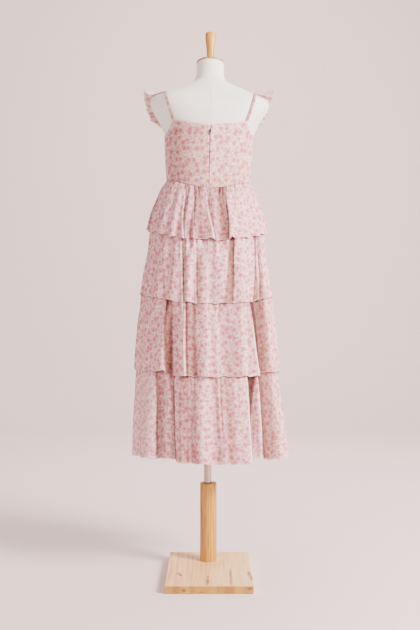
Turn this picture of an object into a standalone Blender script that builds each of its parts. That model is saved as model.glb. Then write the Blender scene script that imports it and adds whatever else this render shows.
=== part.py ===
"""A tiered, printed chiffon sundress on a limbless dress form with a wooden stand.

Metres, +Z up. The origin is on the floor, under the middle of the wooden column.
The back of the dress faces -Y, its front +Y, and the wearer's left is at -X.
Every cloth piece is a wall worked out from rings: an angle of 0 is the centre
back, 90 degrees the +X side and 180 degrees the centre front.
"""
from collections import namedtuple
from math import copysign, cos, degrees, pi, radians, sin, tan

import bmesh
import bpy
from mathutils import Matrix, Vector

# Driving dimensions
SEAM = 0.0004            # room left between two pieces that are sewn or seated together
CLOTH = 0.0015           # wall of every cloth piece
TURN = radians(2.0)      # the form stands turned this far on its pole
LEAN = tan(radians(1.1)) # and leans to the right by this slope

BASE_WIDTH = 0.259
BASE_ASIDE = 0.003       # the column stands this far left of the base's middle
BASE_DEPTH = 0.369
BASE_THICK = 0.023
BASE_BACK_SHARE = 0.735  # share of the base's depth that lies on the -Y side of the column
COLUMN_RADIUS = 0.0265
COLUMN_TOP = 0.271
POLE_RADIUS = 0.012
POLE_ASIDE = -0.002

FORM_BOTTOM = 0.880
NECK_TOP = 1.612
NECK_TILT = radians(8.0)
CAP_THICK = 0.006
CAP_CROWN = 0.005
KNOB_HEIGHT = 0.092

SKIRT_COLUMNS = 100      # points round a tier
UNDERSKIRT_COLUMNS = 50
FORM_COLUMNS = 36
TIER_CLEARANCE = 0.0016  # between a tier's hem and the tier that comes out below it

STRAP_WIDTH = 0.008
STRAP_GAP = 0.0014       # strap over the shoulder, off the form
RUFFLE_WALL = 0.0012

ZIP_HALF_WIDTH = 0.0012
ZIP_TOP = 1.381

Section = namedtuple("Section", "z half_width back front squareness")
Profile = namedtuple("Profile", "drop half_width back front")
Fold = namedtuple("Fold", "crest_deg crest_mm trough_deg trough_mm")
EdgePoint = namedtuple("EdgePoint", "angle_deg z")
Hang = namedtuple("Hang", "z aside")
Tier = namedtuple("Tier", "name seam_z hem_side hem_centre profile folds rows")

# How far the form and the dress stand to the right of the column, by height:
# straight along the leaning form, and swinging back to plumb below it
HANG = [
    Hang(0.360, 0.0040),
    Hang(0.630, -0.0050),
    Hang(0.860, -0.0072),
    Hang(0.950, -0.0062),
    Hang(1.270, 0.0000),
    Hang(1.720, 0.0086),
]

# Horizontal sections of the form, from its cut underside to its neck
FORM = [
    Section(FORM_BOTTOM, 0.1500, 0.112, 0.096, 2.20),
    Section(0.905, 0.1560, 0.118, 0.100, 2.20),
    Section(0.970, 0.1640, 0.122, 0.106, 2.20),
    Section(1.050, 0.1490, 0.110, 0.104, 2.20),
    Section(1.120, 0.1270, 0.092, 0.094, 2.20),
    Section(1.170, 0.1180, 0.084, 0.088, 2.20),
    Section(1.220, 0.1200, 0.086, 0.095, 2.20),
    Section(1.280, 0.1270, 0.095, 0.112, 2.20),
    Section(1.340, 0.1330, 0.103, 0.126, 2.20),
    Section(1.375, 0.1390, 0.106, 0.122, 2.25),
    Section(1.405, 0.1520, 0.106, 0.112, 2.30),
    Section(1.435, 0.1680, 0.104, 0.102, 2.40),
    Section(1.460, 0.1830, 0.099, 0.092, 2.50),
    Section(1.477, 0.1895, 0.092, 0.083, 2.60),
    Section(1.493, 0.1880, 0.084, 0.074, 2.60),
    Section(1.504, 0.1700, 0.078, 0.067, 2.40),
    Section(1.516, 0.1430, 0.072, 0.060, 2.30),
    Section(1.529, 0.1120, 0.065, 0.053, 2.20),
    Section(1.543, 0.0750, 0.056, 0.048, 2.10),
    Section(1.557, 0.0510, 0.047, 0.045, 2.00),
    Section(1.580, 0.0435, 0.0435, 0.0435, 2.00),
    Section(NECK_TOP, 0.0435, 0.0435, 0.0435, 2.00),
]

# Outer face of the bodice
BODICE = [
    Section(1.195, 0.1330, 0.0955, 0.1035, 2.20),
    Section(1.230, 0.1335, 0.0970, 0.1060, 2.20),
    Section(1.280, 0.1375, 0.1010, 0.1180, 2.20),
    Section(1.340, 0.1412, 0.1062, 0.1290, 2.20),
    Section(1.375, 0.1425, 0.1090, 0.1250, 2.25),
    Section(1.405, 0.1546, 0.1086, 0.1146, 2.30),
    Section(1.435, 0.1706, 0.1066, 0.1046, 2.40),
]

# Outer face of the plain skirt that the tiers are sewn to
UNDERSKIRT = [
    Section(1.195, 0.1309, 0.0934, 0.1014, 2.20),
    Section(1.230, 0.1312, 0.0948, 0.1038, 2.20),
    Section(1.110, 0.1560, 0.1180, 0.1210, 2.00),
    Section(0.925, 0.1730, 0.1420, 0.1440, 2.00),
    Section(0.705, 0.1930, 0.1570, 0.1580, 2.00),
    Section(0.690, 0.1940, 0.1580, 0.1590, 2.00),
]

BODICE_WAIST_SIDE = 1.2297
BODICE_WAIST_CENTRE = 1.2035

# Top edge of the bodice: centre back, strap corner, armhole, strap corner, centre front
BACK_EDGE = [
    EdgePoint(0.0, 1.395),
    EdgePoint(43.5, 1.4135),
    EdgePoint(53.0, 1.397),
    EdgePoint(66.0, 1.381),
    EdgePoint(90.0, 1.373),
]
FRONT_EDGE = [
    EdgePoint(90.0, 1.373),
    EdgePoint(108.0, 1.378),
    EdgePoint(124.0, 1.396),
    EdgePoint(136.0, 1.426),
    EdgePoint(180.0, 1.408),
]
STRAP_BACK_X = 0.1150
STRAP_TOP_X = 0.1450
STRAP_FRONT_X = 0.1165
STRAP_BACK_BEARING = radians(-10.4)   # seen from a point inside the shoulder
STRAP_FRONT_BEARING = radians(181.3)

# How far each tier stands off the axis, by its drop below its own seam
TIER_1_PROFILE = [
    Profile(0.025, 0.1475, 0.109, 0.116),
    Profile(0.065, 0.1630, 0.123, 0.129),
    Profile(0.110, 0.1790, 0.136, 0.141),
    Profile(0.170, 0.1900, 0.148, 0.152),
]
TIER_2_PROFILE = [
    Profile(0.062, 0.1800, 0.148, 0.150),
    Profile(0.140, 0.1920, 0.156, 0.158),
    Profile(0.220, 0.2060, 0.163, 0.164),
    Profile(0.270, 0.2090, 0.166, 0.167),
]
TIER_3_PROFILE = [
    Profile(0.060, 0.2060, 0.164, 0.165),
    Profile(0.127, 0.2145, 0.169, 0.170),
    Profile(0.200, 0.2210, 0.175, 0.176),
    Profile(0.300, 0.2290, 0.181, 0.181),
]
TIER_4_PROFILE = [
    Profile(0.090, 0.2222, 0.177, 0.178),
    Profile(0.176, 0.2306, 0.183, 0.184),
    Profile(0.260, 0.2375, 0.188, 0.188),
    Profile(0.350, 0.2420, 0.192, 0.191),
]

# Folds at the hem, each a crest and the trough that follows it
TIER_1_FOLDS = [
    Fold(-172.0, 5, -163.0, -5), Fold(-152.0, 6, -144.0, -4), Fold(-134.0, 4, -127.0, -6),
    Fold(-118.0, 7, -110.0, -4), Fold(-101.0, 5, -94.0, -4), Fold(-86.0, 6, -77.0, -4),
    Fold(-68.0, 5, -60.0, -4), Fold(-50.0, 5, -43.0, -3), Fold(-36.0, 6, -29.0, -3),
    Fold(-22.0, 8, -18.0, -7), Fold(-13.0, 3, -6.0, -6), Fold(6.5, 8, 12.0, -7),
    Fold(22.5, 8, 30.0, 1), Fold(37.0, 4, 46.0, -2), Fold(55.0, 5, 64.0, -3),
    Fold(73.0, 6, 82.0, -4), Fold(91.0, 6, 100.0, -5), Fold(110.0, 5, 119.0, -4),
    Fold(128.0, 6, 137.0, -5), Fold(147.0, 4, 155.0, -6), Fold(165.0, 7, 176.0, -5),
]
TIER_2_FOLDS = [
    Fold(-173.0, 6, -165.0, -5), Fold(-155.0, 5, -147.0, -5), Fold(-138.0, 7, -129.0, -5),
    Fold(-120.0, 5, -112.0, -6), Fold(-103.0, 6, -95.0, -4), Fold(-85.0, 5, -77.0, -3),
    Fold(-67.0, 4, -58.0, -3), Fold(-48.0, 3, -38.0, -5), Fold(-31.0, 4, -24.0, 0),
    Fold(-16.5, 8, -12.0, -7), Fold(-2.5, 6, 4.0, -4), Fold(15.0, 5, 24.0, -8),
    Fold(32.0, 6, 38.0, 2), Fold(48.0, 7, 52.0, -5), Fold(57.0, 5, 64.0, -4),
    Fold(80.0, 6, 90.0, -4), Fold(100.0, 5, 109.0, -5), Fold(119.0, 7, 128.0, -5),
    Fold(137.0, 5, 146.0, -6), Fold(157.0, 6, 173.0, -6),
]
TIER_3_FOLDS = [
    Fold(-171.0, 6, -162.0, -6), Fold(-151.0, 7, -142.0, -6), Fold(-132.0, 5, -124.0, -5),
    Fold(-114.0, 7, -105.0, -5), Fold(-96.0, 5, -87.0, -5), Fold(-78.0, 6, -69.0, -3),
    Fold(-58.0, 4, -50.0, -1), Fold(-37.0, 9, -31.5, -9), Fold(-18.0, 8, -11.0, -7),
    Fold(-1.0, 6, 3.0, 0), Fold(7.0, 4, 13.5, -5), Fold(28.0, 8, 34.0, 1),
    Fold(41.0, 10, 47.5, -10), Fold(65.0, 5, 75.0, -4), Fold(85.0, 6, 95.0, -5),
    Fold(105.0, 6, 114.0, -5), Fold(123.0, 8, 132.0, -6), Fold(142.0, 5, 151.0, -6),
    Fold(161.0, 7, 176.0, -6),
]
TIER_4_FOLDS = [
    Fold(-172.0, 8, -163.0, -8), Fold(-153.0, 9, -144.0, -8), Fold(-134.0, 8, -126.0, -8),
    Fold(-116.0, 10, -107.0, -7), Fold(-98.0, 7, -89.0, -6), Fold(-80.0, 7, -70.0, -4),
    Fold(-51.0, 11, -41.5, -9), Fold(-35.0, -2, -29.0, -12), Fold(-21.5, 5, -14.5, -9),
    Fold(-6.0, 8, 3.5, -5), Fold(9.0, 7, 13.5, -6), Fold(29.0, 11, 35.0, -12),
    Fold(41.5, 7, 47.5, -8), Fold(66.0, 9, 77.0, -5), Fold(87.0, 8, 97.0, -7),
    Fold(107.0, 8, 116.0, -8), Fold(126.0, 10, 136.0, -8), Fold(146.0, 8, 155.0, -8),
    Fold(166.0, 9, 177.0, -7),
]
FOLD_DEPTH = 1.25        # every fold's height times this
GATHER_SHARE = 0.12      # share of a fold's height that is left at the gathered seam

TIERS = [
    Tier("tier_1", None, 1.077, 1.034, TIER_1_PROFILE, TIER_1_FOLDS, (0.14, 0.38, 0.68, 1.0)),
    Tier("tier_2", 1.110, 0.869, 0.843, TIER_2_PROFILE, TIER_2_FOLDS, (0.33, 0.67, 1.0)),
    Tier("tier_3", 0.925, 0.632, 0.622, TIER_3_PROFILE, TIER_3_FOLDS, (0.33, 0.67, 1.0)),
    Tier("tier_4", 0.705, 0.359, 0.362, TIER_4_PROFILE, TIER_4_FOLDS, (0.26, 0.62, 1.0)),
]


def make_material(name, colour, roughness, metallic=0.0):
    """A Principled material with the piece's own colour."""
    material = bpy.data.materials.new(name)
    material.use_nodes = True
    shader = material.node_tree.nodes["Principled BSDF"]
    shader.inputs["Base Color"].default_value = (*colour, 1.0)
    shader.inputs["Roughness"].default_value = roughness
    shader.inputs["Metallic"].default_value = metallic
    return material


def mix(low, high, share):
    """The value at a share of the way from low to high."""
    return low + (high - low) * share


def read_table(rows, value):
    """The row at a value of the first column, worked out between the two rows around it."""
    ordered = sorted(rows, key=lambda row: row[0])
    if value <= ordered[0][0]:
        return ordered[0]
    for low, high in zip(ordered, ordered[1:]):
        if value <= high[0]:
            share = (value - low[0]) / (high[0] - low[0])
            return type(low)(*(mix(a, b, share) for a, b in zip(low, high)))
    return ordered[-1]


def ring_point(section, angle, squareness=2.0):
    """A point of a rounded ring, as x and y."""
    power = 2.0 / squareness
    across, along = sin(angle), -cos(angle)
    depth = section.back if along < 0.0 else section.front
    x = section.half_width * copysign(abs(across) ** power, across)
    y = depth * copysign(abs(along) ** power, along)
    return Vector((x, y))


def section_point(rows, angle, z):
    """A point of a table's ring at a height."""
    section = read_table(rows, z)
    return ring_point(section, angle, section.squareness)


def stand_off(point, distance):
    """The point moved away from the axis."""
    return point + point.normalized() * distance


def edge_height(edge, angle):
    """Height of a top edge at an angle, which is the same on both sides."""
    return read_table(edge, abs(degrees(angle))).z


def between_side_and_centre(angle, side, centre, power):
    """A height that changes from the side seams to the centre back and front."""
    return mix(side, centre, abs(cos(angle)) ** power)


def waist_height(angle):
    """Height of the seam between bodice and skirt."""
    return between_side_and_centre(angle, BODICE_WAIST_SIDE, BODICE_WAIST_CENTRE, 3.0)


def hem_height(tier, angle):
    """Height of a tier's hem."""
    return between_side_and_centre(angle, tier.hem_side, tier.hem_centre, 1.5)


def fold_offset(folds, angle):
    """How far a tier's hem stands out (+) or in (-) at an angle, eased from crest to trough."""
    turns = []
    for fold in folds:
        turns.append((fold.crest_deg, fold.crest_mm))
        turns.append((fold.trough_deg, fold.trough_mm))
    turns.append((turns[0][0] + 360.0, turns[0][1]))
    bearing = (degrees(angle) - turns[0][0]) % 360.0 + turns[0][0]
    for (start, low), (end, high) in zip(turns, turns[1:]):
        if bearing <= end:
            share = (bearing - start) / (end - start)
            return mix(low, high, (1.0 - cos(pi * share)) / 2.0) * FOLD_DEPTH / 1000.0
    return turns[0][1] * FOLD_DEPTH / 1000.0


def new_object(name, mesh_data, material, parent):
    """An object in the scene, shaded smooth but for its sharp edges."""
    mesh = bpy.data.meshes.new(name)
    bmesh.ops.recalc_face_normals(mesh_data, faces=mesh_data.faces)
    mesh_data.to_mesh(mesh)
    mesh_data.free()
    mesh.materials.append(material)
    mesh.shade_smooth()
    mesh.set_sharp_from_angle(angle=radians(50.0))
    piece = bpy.data.objects.new(name, mesh)
    bpy.context.scene.collection.objects.link(piece)
    piece.parent = parent
    return piece


def wall(name, outer, inner, closed, material, parent):
    """A wall between two grids of points, rows of columns, open or closed round a ring."""
    mesh_data = bmesh.new()
    faces = [[[mesh_data.verts.new(point) for point in row] for row in grid] for grid in (outer, inner)]
    row_count, column_count = len(outer), len(outer[0])
    spans = column_count if closed else column_count - 1

    def add_cell(a, b, c, d):
        mesh_data.faces.new((a, b, c))
        mesh_data.faces.new((a, c, d))

    for grid in faces:
        for row in range(row_count - 1):
            for column in range(spans):
                after = (column + 1) % column_count
                add_cell(grid[row][column], grid[row][after], grid[row + 1][after], grid[row + 1][column])
    front, back = faces
    for row in (0, row_count - 1):
        for column in range(spans):
            after = (column + 1) % column_count
            add_cell(front[row][column], front[row][after], back[row][after], back[row][column])
    if not closed:
        for column in (0, column_count - 1):
            for row in range(row_count - 1):
                add_cell(front[row][column], front[row + 1][column],
                         back[row + 1][column], back[row][column])
    return new_object(name, mesh_data, material, parent)


def turned(name, profile, columns, material, parent, place=Matrix()):
    """A solid turned from a profile of radius and height pairs that starts and ends on the axis."""
    mesh_data = bmesh.new()
    points = [mesh_data.verts.new((radius, 0.0, height)) for radius, height in profile]
    edges = [mesh_data.edges.new(pair) for pair in zip(points, points[1:])]
    bmesh.ops.spin(mesh_data, geom=points + edges, cent=(0, 0, 0), axis=(0, 0, 1),
                   angle=2.0 * pi, steps=columns, use_merge=True)
    bmesh.ops.remove_doubles(mesh_data, verts=mesh_data.verts, dist=1e-6)
    mesh_data.transform(place)
    return new_object(name, mesh_data, material, parent)


def rod(name, radius, low, high, bevel, columns, material, parent):
    """A round bar with softened ends."""
    profile = [(0.0, low), (radius - bevel, low), (radius, low + bevel),
               (radius, high - bevel), (radius - bevel, high), (0.0, high)]
    return turned(name, profile, columns, material, parent)


def box(name, low, high, bevel, material, parent):
    """A block with softened edges."""
    mesh_data = bmesh.new()
    size = Vector(high) - Vector(low)
    centre = (Vector(high) + Vector(low)) / 2.0
    place = Matrix.Translation(centre) @ Matrix.Diagonal((*size, 1.0))
    bmesh.ops.create_cube(mesh_data, size=1.0, matrix=place)
    if bevel:
        bmesh.ops.bevel(mesh_data, geom=mesh_data.edges[:], offset=bevel, segments=1, affect="EDGES")
    return new_object(name, mesh_data, material, parent)


# The stand
def build_stand(wood, steel, parent):
    """The board, the column on it and the pole that carries the form."""
    near = -BASE_DEPTH * BASE_BACK_SHARE
    left, right = BASE_ASIDE - BASE_WIDTH / 2.0, BASE_ASIDE + BASE_WIDTH / 2.0
    box("stand_base", (left, near, 0.0), (right, near + BASE_DEPTH, BASE_THICK), 0.0015, wood, parent)
    rod("stand_column", COLUMN_RADIUS, BASE_THICK + SEAM, COLUMN_TOP, 0.0015, 36, wood, parent)
    slope_room = LEAN * (POLE_RADIUS + abs(POLE_ASIDE))
    pole = rod("pole", POLE_RADIUS, COLUMN_TOP + SEAM, FORM_BOTTOM - SEAM - slope_room, 0.0005, 24, steel, parent)
    pole.location.x = POLE_ASIDE


# The form
def build_form(linen, wood, parent):
    """The covered torso, its neck cap and the knob."""
    rings = []
    for section in FORM:
        ring = []
        for column in range(FORM_COLUMNS):
            flat = ring_point(section, 2.0 * pi * column / FORM_COLUMNS, section.squareness)
            tilt_share = max(0.0, (section.z - 1.549) / (NECK_TOP - 1.549))
            height = section.z - flat.y * tan(NECK_TILT) * tilt_share
            ring.append((flat.x, flat.y, height))
        rings.append(ring)
    mesh_data = bmesh.new()
    loops = [[mesh_data.verts.new(point) for point in ring] for ring in rings]
    for low, high in zip(loops, loops[1:]):
        for column in range(FORM_COLUMNS):
            after = (column + 1) % FORM_COLUMNS
            mesh_data.faces.new((low[column], low[after], high[after]))
            mesh_data.faces.new((low[column], high[after], high[column]))
    mesh_data.faces.new(loops[0])
    mesh_data.faces.new(loops[-1])
    new_object("form_torso", mesh_data, linen, parent)

    seat = Matrix.Translation((0.0, 0.0, NECK_TOP + SEAM)) @ Matrix.Rotation(-NECK_TILT, 4, "X")
    rim = 0.0445
    cap = [(0.0, 0.0), (rim - 0.001, 0.0), (rim, 0.001), (rim, CAP_THICK - 0.0015), (rim - 0.0015, CAP_THICK),
           (0.030, CAP_THICK + 0.6 * CAP_CROWN), (0.0135, CAP_THICK + CAP_CROWN), (0.0, CAP_THICK + CAP_CROWN)]
    turned("neck_cap", cap, 36, wood, parent, seat)

    foot = CAP_THICK + CAP_CROWN + SEAM
    knob = [(0.0, foot), (0.0115, foot), (0.0118, foot + 0.004), (0.0125, foot + 0.030), (0.0150, foot + 0.055),
            (0.0170, foot + 0.070), (0.0175, foot + KNOB_HEIGHT - 0.006),
            (0.0165, foot + KNOB_HEIGHT - 0.001), (0.0120, foot + KNOB_HEIGHT), (0.0, foot + KNOB_HEIGHT)]
    turned("neck_knob", knob, 28, wood, parent, seat)


# The bodice
def bodice_point(angle, z, inset):
    """A point of the bodice wall, inset from its outer face."""
    flat = stand_off(section_point(BODICE, angle, z), -inset)
    return (flat.x, flat.y, z)


def panel(name, edge, first, last, columns_between, row_count, chiffon, parent):
    """A bodice panel between two angles in degrees, from the waist seam to its top edge."""
    stops = sorted({first, last} | {copysign(point.angle_deg, first + last)
                                    for point in edge if min(abs(first), abs(last)) < point.angle_deg
                                    < max(abs(first), abs(last))})
    bearings = []
    for low, high in zip(stops, stops[1:]):
        steps = max(1, round((high - low) / columns_between))
        bearings += [mix(low, high, step / steps) for step in range(steps)]
    bearings.append(stops[-1])
    grids = []
    for inset in (0.0, CLOTH):
        grid = []
        for row in range(row_count):
            line = []
            for bearing in bearings:
                angle = radians(bearing)
                height = mix(waist_height(angle), edge_height(edge, angle), row / (row_count - 1))
                line.append(bodice_point(angle, height, inset))
            grid.append(line)
        grids.append(grid)
    return wall(name, grids[0], grids[1], False, chiffon, parent)


def front_panel(name, row_count, chiffon, parent):
    """The front of the bodice, from side seam to side seam."""
    seam_deg = degrees(SEAM / 2.0 / BODICE[0].half_width)
    half = []
    for low, high in zip(FRONT_EDGE, FRONT_EDGE[1:]):
        steps = max(1, round((high.angle_deg - low.angle_deg) / 9.0))
        half += [mix(low.angle_deg, high.angle_deg, step / steps) for step in range(steps)]
    half[0] += seam_deg
    bearings = half + [180.0] + [360.0 - bearing for bearing in reversed(half)]
    grids = []
    for inset in (0.0, CLOTH):
        grid = []
        for row in range(row_count):
            line = []
            for bearing in bearings:
                angle = radians(bearing)
                top = read_table(FRONT_EDGE, min(bearing, 360.0 - bearing)).z
                height = mix(waist_height(angle), top, row / (row_count - 1))
                line.append(bodice_point(angle, height, inset))
            grid.append(line)
        grids.append(grid)
    return wall(name, grids[0], grids[1], False, chiffon, parent)


def build_bodice(chiffon, parent):
    """Two back panels that meet at the zip, and the front."""
    row_count = 7
    half_gap = ZIP_HALF_WIDTH + SEAM
    middle = read_table(BODICE, 1.30)
    zip_deg = degrees((half_gap / middle.half_width) ** (middle.squareness / 2.0))
    side_deg = 90.0 - degrees(SEAM / 2.0 / middle.half_width)
    panel("bodice_back_right", BACK_EDGE, zip_deg, side_deg, 9.0, row_count, chiffon, parent)
    panel("bodice_back_left", BACK_EDGE, -side_deg, -zip_deg, 9.0, row_count, chiffon, parent)
    front_panel("bodice_front", row_count, chiffon, parent)


# The skirt
def build_underskirt(chiffon, parent):
    """The plain skirt below the waist seam, which carries tiers 2 to 4."""
    grids = []
    heights = [None] + [tier.seam_z for tier in TIERS[1:]] + [UNDERSKIRT[-1].z]
    for inset in (0.0, CLOTH):
        grid = []
        for height in heights:
            line = []
            for column in range(UNDERSKIRT_COLUMNS):
                angle = 2.0 * pi * column / UNDERSKIRT_COLUMNS
                z = waist_height(angle) - SEAM if height is None else height
                flat = stand_off(section_point(UNDERSKIRT, angle, z), -inset)
                line.append((flat.x, flat.y, z))
            grid.append(line)
        grids.append(grid)
    wall("underskirt", grids[0], grids[1], True, chiffon, parent)


def tier_rows(tier, angle, hem_above):
    """The outer points of one tier at an angle, from its seam to its hem."""
    if tier.seam_z is None:
        seam_z = waist_height(angle) - SEAM
        seam = section_point(BODICE, angle, seam_z + SEAM)
    else:
        seam_z = tier.seam_z
        seam = stand_off(section_point(UNDERSKIRT, angle, seam_z), CLOTH + SEAM)
    deepest = min(fold.trough_mm for fold in tier.folds) * FOLD_DEPTH / 1000.0
    offset = fold_offset(tier.folds, angle)
    hem_z = hem_height(tier, angle)
    gathered = stand_off(seam, (offset - deepest) * GATHER_SHARE)
    points = [Vector((gathered.x, gathered.y, seam_z))]
    start_z = seam_z
    if hem_above is not None:
        start_z = hem_above.z - 0.002
        drop = seam_z - start_z
        free = stand_off(ring_point(read_table(tier.profile, drop), angle), offset * 0.4)
        limit = Vector((hem_above.x, hem_above.y))
        held = limit * ((limit.length - CLOTH - TIER_CLEARANCE) / limit.length)
        flat = free if free.length < held.length else held
        points.append(Vector((flat.x, flat.y, start_z)))
    for share in tier.rows:
        z = mix(start_z, hem_z, share)
        drop = seam_z - z
        full_share = mix(GATHER_SHARE, 1.0, (drop / (seam_z - hem_z)) ** 0.7)
        flat = stand_off(ring_point(read_table(tier.profile, drop), angle), offset * full_share)
        points.append(Vector((flat.x, flat.y, z)))
    return points


def build_tiers(chiffon, parent):
    """Four gathered tiers, each held in under the hem of the one above it."""
    hems = [None] * SKIRT_COLUMNS
    for tier in TIERS:
        columns = []
        for column in range(SKIRT_COLUMNS):
            angle = 2.0 * pi * column / SKIRT_COLUMNS
            columns.append(tier_rows(tier, angle, hems[column]))
        outer = [list(row) for row in zip(*columns)]
        inner = []
        for row in outer:
            line = []
            for point in row:
                flat = stand_off(Vector((point.x, point.y)), -CLOTH)
                line.append((flat.x, flat.y, point.z))
            inner.append(line)
        wall(tier.name, outer, inner, True, chiffon, parent)
        hems = outer[-1]


# Straps and ruffles
def form_measure(point):
    """Below 1 inside the form, above 1 outside it."""
    section = read_table(FORM, point.z)
    depth = section.back if point.y < 0.0 else section.front
    across = (abs(point.x) / section.half_width) ** section.squareness
    return across + (abs(point.y) / depth) ** section.squareness


def strap_station(side, share):
    """A point of the form's surface under a strap, from its back end (0) to its front end (1)."""
    lean = sin(pi * share)
    foot_x = mix(STRAP_BACK_X, STRAP_FRONT_X, share)
    start = Vector((side * mix(foot_x, STRAP_TOP_X, lean), -0.004, 1.430))
    bearing = mix(STRAP_BACK_BEARING, STRAP_FRONT_BEARING, share)
    direction = Vector((0.0, -cos(bearing), sin(bearing)))
    low, high = 0.0, 0.2
    for _ in range(40):
        middle = (low + high) / 2.0
        if form_measure(start + direction * middle) < 1.0 and (start + direction * middle).z < 1.6:
            low = middle
        else:
            high = middle
    return start + direction * high


def strap_frame(side, share):
    """A strap's point with its direction along, outward normal and sideways direction."""
    step = 0.01
    point = strap_station(side, share)
    along = (strap_station(side, min(share + step, 1.0)) - strap_station(side, max(share - step, 0.0))).normalized()
    nudge = 0.002
    slope = []
    for axis in (Vector((nudge, 0, 0)), Vector((0, nudge, 0)), Vector((0, 0, nudge))):
        slope.append(form_measure(point + axis) - form_measure(point - axis))
    normal = Vector(slope)
    normal = (normal - along * normal.dot(along)).normalized()
    outward = along.cross(normal).normalized()
    if outward.x * side < 0.0:
        outward.negate()
    return point, along, normal, outward


def build_strap(name, side, stations, chiffon, parent):
    """A narrow strap from the back corner over the shoulder to the front corner."""
    grids = []
    for lift in (STRAP_GAP + CLOTH, STRAP_GAP):
        grid = []
        for step in range(stations + 1):
            point, along, normal, outward = strap_frame(side, step / stations)
            grid.append([point + normal * lift + outward * STRAP_WIDTH * reach for reach in (-0.5, 0.5)])
        grids.append(grid)
    wall(name, grids[0], grids[1], False, chiffon, parent)


RuffleStation = namedtuple("RuffleStation", "share width lift")
RUFFLE = [
    RuffleStation(0.46, 0.040, 0.12),
    RuffleStation(0.51, 0.058, 0.18),
    RuffleStation(0.60, 0.060, 0.20),
    RuffleStation(0.74, 0.056, 0.24),
    RuffleStation(0.88, 0.046, 0.30),
    RuffleStation(0.985, 0.022, 0.36),
]
RUFFLE_WAVES = 5.5
RUFFLE_WAVE_HEIGHT = 0.009


def build_ruffle(name, side, stations, chiffon, parent):
    """A fluttering ruffle on the outer edge of a strap, from the shoulder down the front."""
    start, end = RUFFLE[0].share, RUFFLE[-1].share
    grids = []
    for layer in (0.5, -0.5):
        grid = []
        for step in range(stations + 1):
            station = read_table(RUFFLE, mix(start, end, step / stations))
            point, along, normal, outward = strap_frame(side, station.share)
            root = point + normal * (STRAP_GAP + CLOTH / 2.0) + outward * (STRAP_WIDTH / 2.0 + 1.6 * SEAM)
            phase = 2.0 * pi * RUFFLE_WAVES * step / stations + 0.9 * side
            line = []
            for reach in (0.0, 0.34, 0.67, 1.0):
                wave = sin(phase) * RUFFLE_WAVE_HEIGHT * reach * (station.width / 0.06)
                height = station.width * reach * station.lift + abs(wave) * 0.4 + wave
                place = root + outward * station.width * reach + normal * height
                line.append(place + normal * RUFFLE_WALL * layer)
            grid.append(line)
        grids.append(grid)
    wall(name, grids[0], grids[1], False, chiffon, parent)


# The zip
SLIDER_HALF_WIDTH = 0.0024
SLIDER_LENGTH = 0.008
SLIDER_THICK = 0.0012
LUG_THICK = 0.0007
LUG_REACH = 0.0026
PIN_RADIUS = 0.0005
TAB_EYE_RADIUS = 0.0012
TAB_BORE_RADIUS = 0.0008
TAB_HALF_WIDTH = 0.0016
TAIL_HALF_WIDTH = 0.0014
TAB_LENGTH = 0.013
TAB_THICK = 0.0009


def back_depth(z):
    """Distance from the axis to the outer face of the bodice at the centre back."""
    return read_table(BODICE, z).back


def build_zip(metal, tape, parent, pull_pivot):
    """The closed row of teeth, the slider at its top and the pull tab that hangs from it."""
    row_count = 7
    grids = []
    for inset in (0.0, CLOTH):
        grid = []
        for row in range(row_count):
            z = mix(BODICE_WAIST_CENTRE + 0.001, ZIP_TOP, row / (row_count - 1))
            y = -(back_depth(z) - inset)
            grid.append([(-ZIP_HALF_WIDTH, y, z), (ZIP_HALF_WIDTH, y, z)])
        grids.append(grid)
    wall("zip_teeth", grids[0], grids[1], False, tape, parent)

    low, high = ZIP_TOP - SLIDER_LENGTH, ZIP_TOP
    seat_y = -(max(back_depth(low), back_depth(high)) + SEAM)
    face_y = seat_y - SLIDER_THICK
    body = box("zip_slider", (-SLIDER_HALF_WIDTH, face_y, low), (SLIDER_HALF_WIDTH, seat_y, high), 0.0, metal, parent)
    pin_z = high - 0.003
    pin_y = face_y - LUG_REACH + 0.0012
    for number, side in enumerate((-1, 1)):
        inside = side * (TAB_HALF_WIDTH + 0.0003)
        outside = inside + side * LUG_THICK
        lug = box("lug_shape_%d" % number, (min(inside, outside), face_y - LUG_REACH, pin_z - 0.0015),
                  (max(inside, outside), face_y + 0.0004, pin_z + 0.0015), 0.0, metal, parent)
        join(body, lug)
    lying = Matrix.Translation((0.0, pin_y, pin_z)) @ Matrix.Rotation(pi / 2.0, 4, "Y")
    reach = TAB_HALF_WIDTH + 0.0006
    pin = turned("pin_shape", [(0.0, -reach), (PIN_RADIUS, -reach), (PIN_RADIUS, reach), (0.0, reach)],
                 12, metal, parent, lying)
    join(body, pin)

    pull_pivot.location = (0.0, pin_y, pin_z)
    eye = turned("zip_pull", [(0.0, -TAB_HALF_WIDTH), (TAB_EYE_RADIUS, -TAB_HALF_WIDTH),
                              (TAB_EYE_RADIUS, TAB_HALF_WIDTH), (0.0, TAB_HALF_WIDTH)],
                 16, metal, pull_pivot, Matrix.Rotation(pi / 2.0, 4, "Y"))
    tail_top = -(TAB_BORE_RADIUS + TAB_EYE_RADIUS) / 2.0
    tail = box("tail_shape", (-TAIL_HALF_WIDTH, -TAB_THICK / 2.0, -TAB_LENGTH),
               (TAIL_HALF_WIDTH, TAB_THICK / 2.0, tail_top), 0.0, metal, pull_pivot)
    join(eye, tail)
    bore_reach = TAB_HALF_WIDTH + 0.001
    bore = turned("bore_shape", [(0.0, -bore_reach), (TAB_BORE_RADIUS, -bore_reach),
                                 (TAB_BORE_RADIUS, bore_reach), (0.0, bore_reach)],
                  16, metal, pull_pivot, Matrix.Rotation(pi / 2.0, 4, "Y"))
    cut(eye, bore)


def hang(point):
    """A point of the form or the dress where it really hangs."""
    return Vector((point.x + read_table(HANG, point.z).aside, point.y, point.z - point.x * LEAN))


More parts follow.
